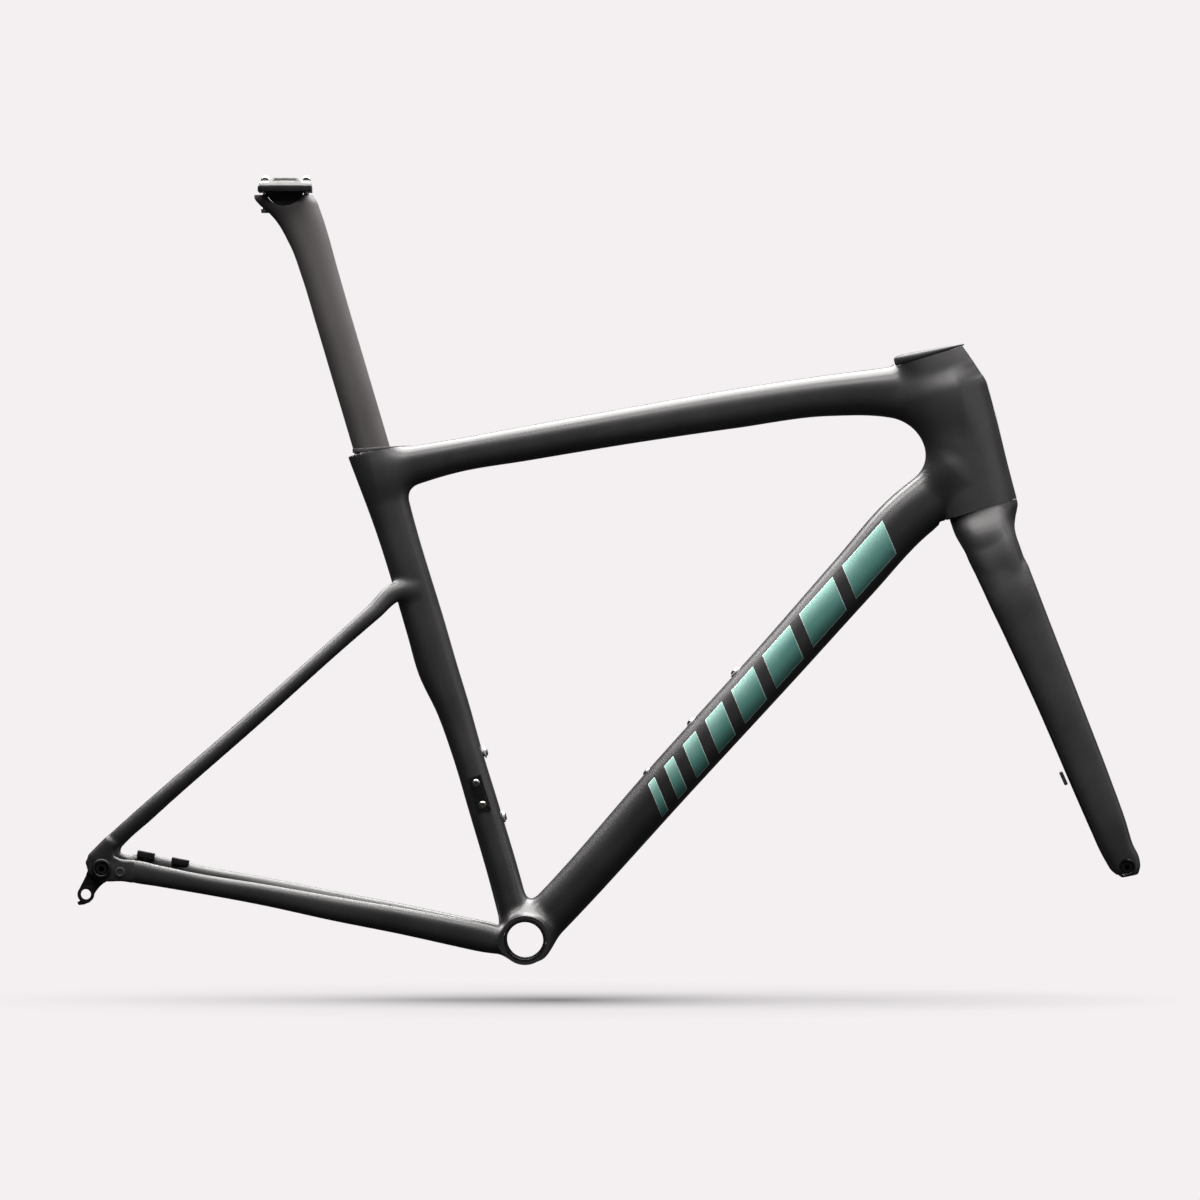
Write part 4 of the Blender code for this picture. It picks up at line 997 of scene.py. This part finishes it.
def make_rail_clamp():
    """Cradle, clamp plate, two bolts and their barrel nuts, with the edges broken."""
    half_round = [*arc(CLAMP_PIVOT, CLAMP_R, 195, 345, 48), (-214, 720), (-248, 720)]
    cradle = box("cradle_plate", WORLD, (-256, -204.8), (-28, 28), (717.6, RAIL_Z - 0.25))
    boolean(cradle, [side_plate("half_round", half_round, -15.5, 15.5)], "UNION", "EXACT")
    upper = box("clamp_plate", WORLD, (-255, -204.8), (-27, 27), (RAIL_Z + 0.25, 725.6))
    block = [(-246.5, 724), (-243.6, 730), (-242.4, 730.8), (-217.2, 730.8), (-216, 730), (-213, 724)]
    saddles = [side_plate("saddle", [(x - 6.3, 724), (x - 5.4, 728.2), (x + 5.4, 728.2), (x + 6.3, 724)],
                          -12, 12) for x in (-248.5, -211.3)]
    boolean(upper, [side_plate("block", block, -27, 27), *saddles], "UNION", "EXACT")
    rails = [Frame((-231, side * RAIL_HALF_SPACING, RAIL_Z), (0, 1, 0), (1, 0, 0))
             for side in (-1, 1)]
    cradle_tools = [rod("rail", axis, RAIL_R, -40, 40) for axis in rails]
    upper_tools = [rod("rail", axis, RAIL_R, -40, 40) for axis in rails]
    window = [(-241.5, 727.9), (-239.6, 729.7), (-220.2, 729.7), (-218.3, 727.9), (-220.2, 727.3),
              (-239.6, 727.3)]
    upper_tools += [side_plate("window", window, *ends) for ends in ((-30, -25.6), (25.6, 30))]
    for name, x in CLAMP_BOLT_X.items():
        axis = WORLD.shifted(x, 0, 0)
        cross = cross_frame(x, NUT_Z)
        cradle_tools.append(box("slot", axis, (-3.7, 3.7), (-3.1, 3.1), (700, 740)))
        upper_tools += [box("plate_slot", axis, (-3.7, 3.7), (-3.1, 3.1), (700, 740)),
                        rod("nut_seat", cross, 4.9, -9, 9),
                        box("above", axis, (-4.9, 4.9), (-9, 9), (NUT_Z, 740))]
        nut = turned(f"barrel_nut_{name}", cross, [
            (0, -8), (3.6, -8), (4.2, -7.4), (4.2, 7.4), (3.6, 8), (0, 8)])
        boolean(nut, [rod("bore", axis, 2.75, 700, 740)])
        finish(smooth_shade(nut, 30), "bolt_steel", f"nut_{name}", f"clamp_nut_{name}")
        thread = []
        for i in range(22):
            thread += [(2.5, 716 + 0.8 * i), (2.2, 716.4 + 0.8 * i)]
        foot = [(0, 694), (2.5, 694)]
        if name == "rear":
            foot = [(0, 697.5), (3.6, 697.5), (4.1, 698), (4.1, 701.6), (3.7, 702), (2.5, 702)]
        bolt = turned(f"rail_bolt_{name}", axis, [*foot, *thread, (2.1, 733.4), (0, 733.4)], 48)
        if name == "rear":
            boolean(bolt, [prism("socket", axis, hexagon(2.3), 690, 700.4)])
        finish(smooth_shade(bolt, 30), "bolt_steel", "seatpost", f"clamp_bolt_{name}")
    boolean(cradle, cradle_tools, solver="EXACT")
    boolean(upper, upper_tools, solver="EXACT")
    finish(bevelled(cradle, 0.5), "black_alloy", "rail_clamp", "rail_cradle")
    # The upper plate's light grey is a painted highlight: the overhead light on a glossy black plate,
    # painted into its colour.
    finish(bevelled(upper, 0.4), "grey_alloy", "rail_clamp", "rail_clamp_upper")


def decal(name, slot, corners, direction, lift, step=1.6):
    """A thin film on the frame: a four-cornered patch dropped onto it along a direction."""
    tree = BVHTree.FromObject(FRAME_SKIN, bpy.context.evaluated_depsgraph_get())
    a, b, c, d = [Vector(corner) for corner in corners]
    direction = Vector(direction).normalized()
    across = max(2, round((b - a).length / step))
    along = max(2, round((d - a).length / step))
    bm = bmesh.new()
    grid = []
    for i in range(along + 1):
        row = []
        for j in range(across + 1):
            s, t = i / along, j / across
            point = (a * (1 - t) + b * t) * (1 - s) + (d * (1 - t) + c * t) * s
            hit, normal, _, _ = tree.ray_cast((point - direction * 60) * MM, direction)
            row.append(bm.verts.new(hit + normal * lift * MM))
        grid.append(row)
    for i in range(along):
        for j in range(across):
            bm.faces.new((grid[i][j], grid[i][j + 1], grid[i + 1][j + 1], grid[i + 1][j]))
    piece = mesh_from(name, bm)
    if piece.data.polygons[0].normal.dot(direction) > 0:
        piece.data.flip_normals()
    thick = piece.modifiers.new("film", "SOLIDIFY")
    thick.thickness = (lift + 0.05) * MM
    thick.offset = -1
    apply_modifiers(piece)
    finish(smooth_shade(piece, 50), slot, "frame")


def make_graphics():
    """Plain slanted bars that widen along the down tube, and an upright bar on the head tube's nose."""
    along, up = Vector((0.664, 0, 0.747)), Vector(DOWN_TUBE_UP)
    middle = Vector((237, 0, 260))
    widths = (8, 12, 17, 23, 30, 38, 47, 57)
    gap, half_height, slant, rim = 15, 15, 7.5, 0.6
    for side, y in (("right", -1), ("left", 1)):
        start = -(sum(widths) + gap * (len(widths) - 1)) / 2
        for i, width in enumerate(widths, 1):
            for slot, grow, lift in (("graphic_light", rim, 0.10), ("graphic_teal", 0, 0.18)):
                low, high = start - grow, start + width + grow
                reach = half_height + grow
                corners = [middle + along * (place + slant * tip) + up * (reach * tip)
                           for place, tip in ((low, -1), (high, -1), (high, 1), (low, 1))]
                decal(f"tube_bar_{side}_{i}_{slot[8:]}", slot, corners, (0, -y, 0), lift)
            start += width + gap
    nose = STEERING.at(578, 0, 346)
    for slot, wide, tall, lift in (("graphic_light", 3.6, 12.6, 0.10), ("graphic_teal", 3, 12, 0.18)):
        corners = [nose + STEERING.v * (wide * across) + STEERING.w * (tall * along)
                   for across, along in ((-1, -1), (1, -1), (1, 1), (-1, 1))]
        decal(f"head_badge_{slot[8:]}", slot, corners, -STEERING.u, lift, 0.9)


def make_crown_seal():
    """The thin rubber lip that closes the gap between the fork and the head tube."""
    rings = [head_ring(STEERING.at(509.5, 0, height), STEERING.at(571.2, 0, height), 25.6)
             for height in (266.2, 267)]
    seal = loft("crown_lip", rings)
    boolean(seal, [rod("hole", STEERER, 18.4, 250, 280, 96)])
    finish(smooth_shade(seal, 40), "rubber", "fork")


make_graphics()
make_crown_seal()
make_bottle_fittings()
make_derailleur_plate()
make_brake_pads()
make_hanger()
make_round_fittings()
make_headset_cover()
make_seal()
make_post()
make_rail_clamp()


# ---------------- studio
FLOOR_SHADOWS = (               # centre x, radii, kind of falloff, strength
    (0.03, (0.26, 0.34), "QUADRATIC_SPHERE", 0.36), (-0.08, (0.50, 0.34), "QUADRATIC_SPHERE", 0.34),
    (0.04, (0.62, 0.60), "SPHERICAL", 0.14), (0.30, (0.34, 0.34), "SPHERICAL", 0.14),
)


def floor_shadow(paint):
    """How much the soft shadow under the frameset darkens the floor, 0 to 1."""
    total = None
    for centre, (long, wide), kind, strength in FLOOR_SHADOWS:
        gradient = paint.add("TexGradient")
        gradient.gradient_type = kind
        point = paint.place((1 / long, 1 / wide, 1), location=(-centre / long, 0, -FLOOR_Z))
        paint.link(point, gradient, "Vector")
        scaled = paint.add("Math")
        scaled.operation = "MULTIPLY_ADD"
        scaled.inputs[1].default_value = strength
        scaled.inputs[2].default_value = 0
        paint.link(gradient.outputs["Fac"], scaled, 0)
        if total is not None:
            paint.link(total, scaled, 2)
        total = scaled.outputs[0]
    return total


def make_floor():
    """A flat sheet of pale paper that gives off its own tone and throws no light on the object."""
    bm = bmesh.new()
    bmesh.ops.create_grid(bm, x_segments=1, y_segments=1, size=2.5)
    bmesh.ops.translate(bm, verts=bm.verts, vec=(0, 0, FLOOR_Z))
    floor = mesh_from("studio_floor", bm)
    paint = Paint("studio_paper")
    paint.set(paint.shader, Base_Color=(0, 0, 0, 1), Roughness=1, Specular_IOR_Level=0,
              Emission_Strength=1)
    tone = paint.ramp(floor_shadow(paint), [(0, PAPER), (1, (0, 0, 0))])
    paint.link(tone, paint.shader, "Emission Color")
    floor.data.materials.append(paint.material)
    floor.visible_glossy = False
    floor.visible_diffuse = False


def make_lights():
    """Three area lights in a dim white room; past the floor's edge there is only paper."""
    world = bpy.data.worlds.new("studio_world")
    bpy.context.scene.world = world
    world.use_nodes = True
    nodes, links = world.node_tree.nodes, world.node_tree.links
    room = nodes["Background"]
    room.inputs["Color"].default_value = (1, 1, 1, 1)
    room.inputs["Strength"].default_value = 0.04
    paper = nodes.new("ShaderNodeBackground")
    paper.inputs["Color"].default_value = (*PAPER, 1)
    mix = nodes.new("ShaderNodeMixShader")
    links.new(nodes.new("ShaderNodeLightPath").outputs["Is Camera Ray"], mix.inputs[0])
    links.new(room.outputs["Background"], mix.inputs[1])
    links.new(paper.outputs["Background"], mix.inputs[2])
    links.new(mix.outputs["Shader"], nodes["World Output"].inputs["Surface"])
    lights = (("overhead", (0.1, 0.5, 1.95), (0.1, 0.5, 0), 3.2, 2.6, 350),
              ("front_side", (2.6, -1.2, 0.9), (0.2, 0, 0.3), 1.4, 1.8, 6),
              ("high_front", (0.2, -2.3, 2.5), (0.1, 0, 0.3), 2.8, 0.7, 70))
    for name, place, target, width, height, power in lights:
        data = bpy.data.lights.new(name, "AREA")
        data.shape = "RECTANGLE"
        data.size = width
        data.size_y = height
        data.energy = power
        data.color = (1, 0.985, 0.97)
        light = add_object(name, data)
        light.location = place
        light.rotation_euler = (Vector(target) - Vector(place)).to_track_quat("-Z", "Y").to_euler()
        light.visible_camera = False


def make_camera():
    """A long lens straight at the right side."""
    data = bpy.data.cameras.new("camera")
    data.lens = 375
    data.sensor_width = 36
    camera = add_object("camera", data)
    camera.location = (0.0719, -12, 0.326)
    camera.rotation_euler = (math.radians(90), 0, 0)
    bpy.context.scene.camera = camera
    bpy.context.scene.view_settings.view_transform = "Standard"


make_floor()
make_lights()
make_camera()
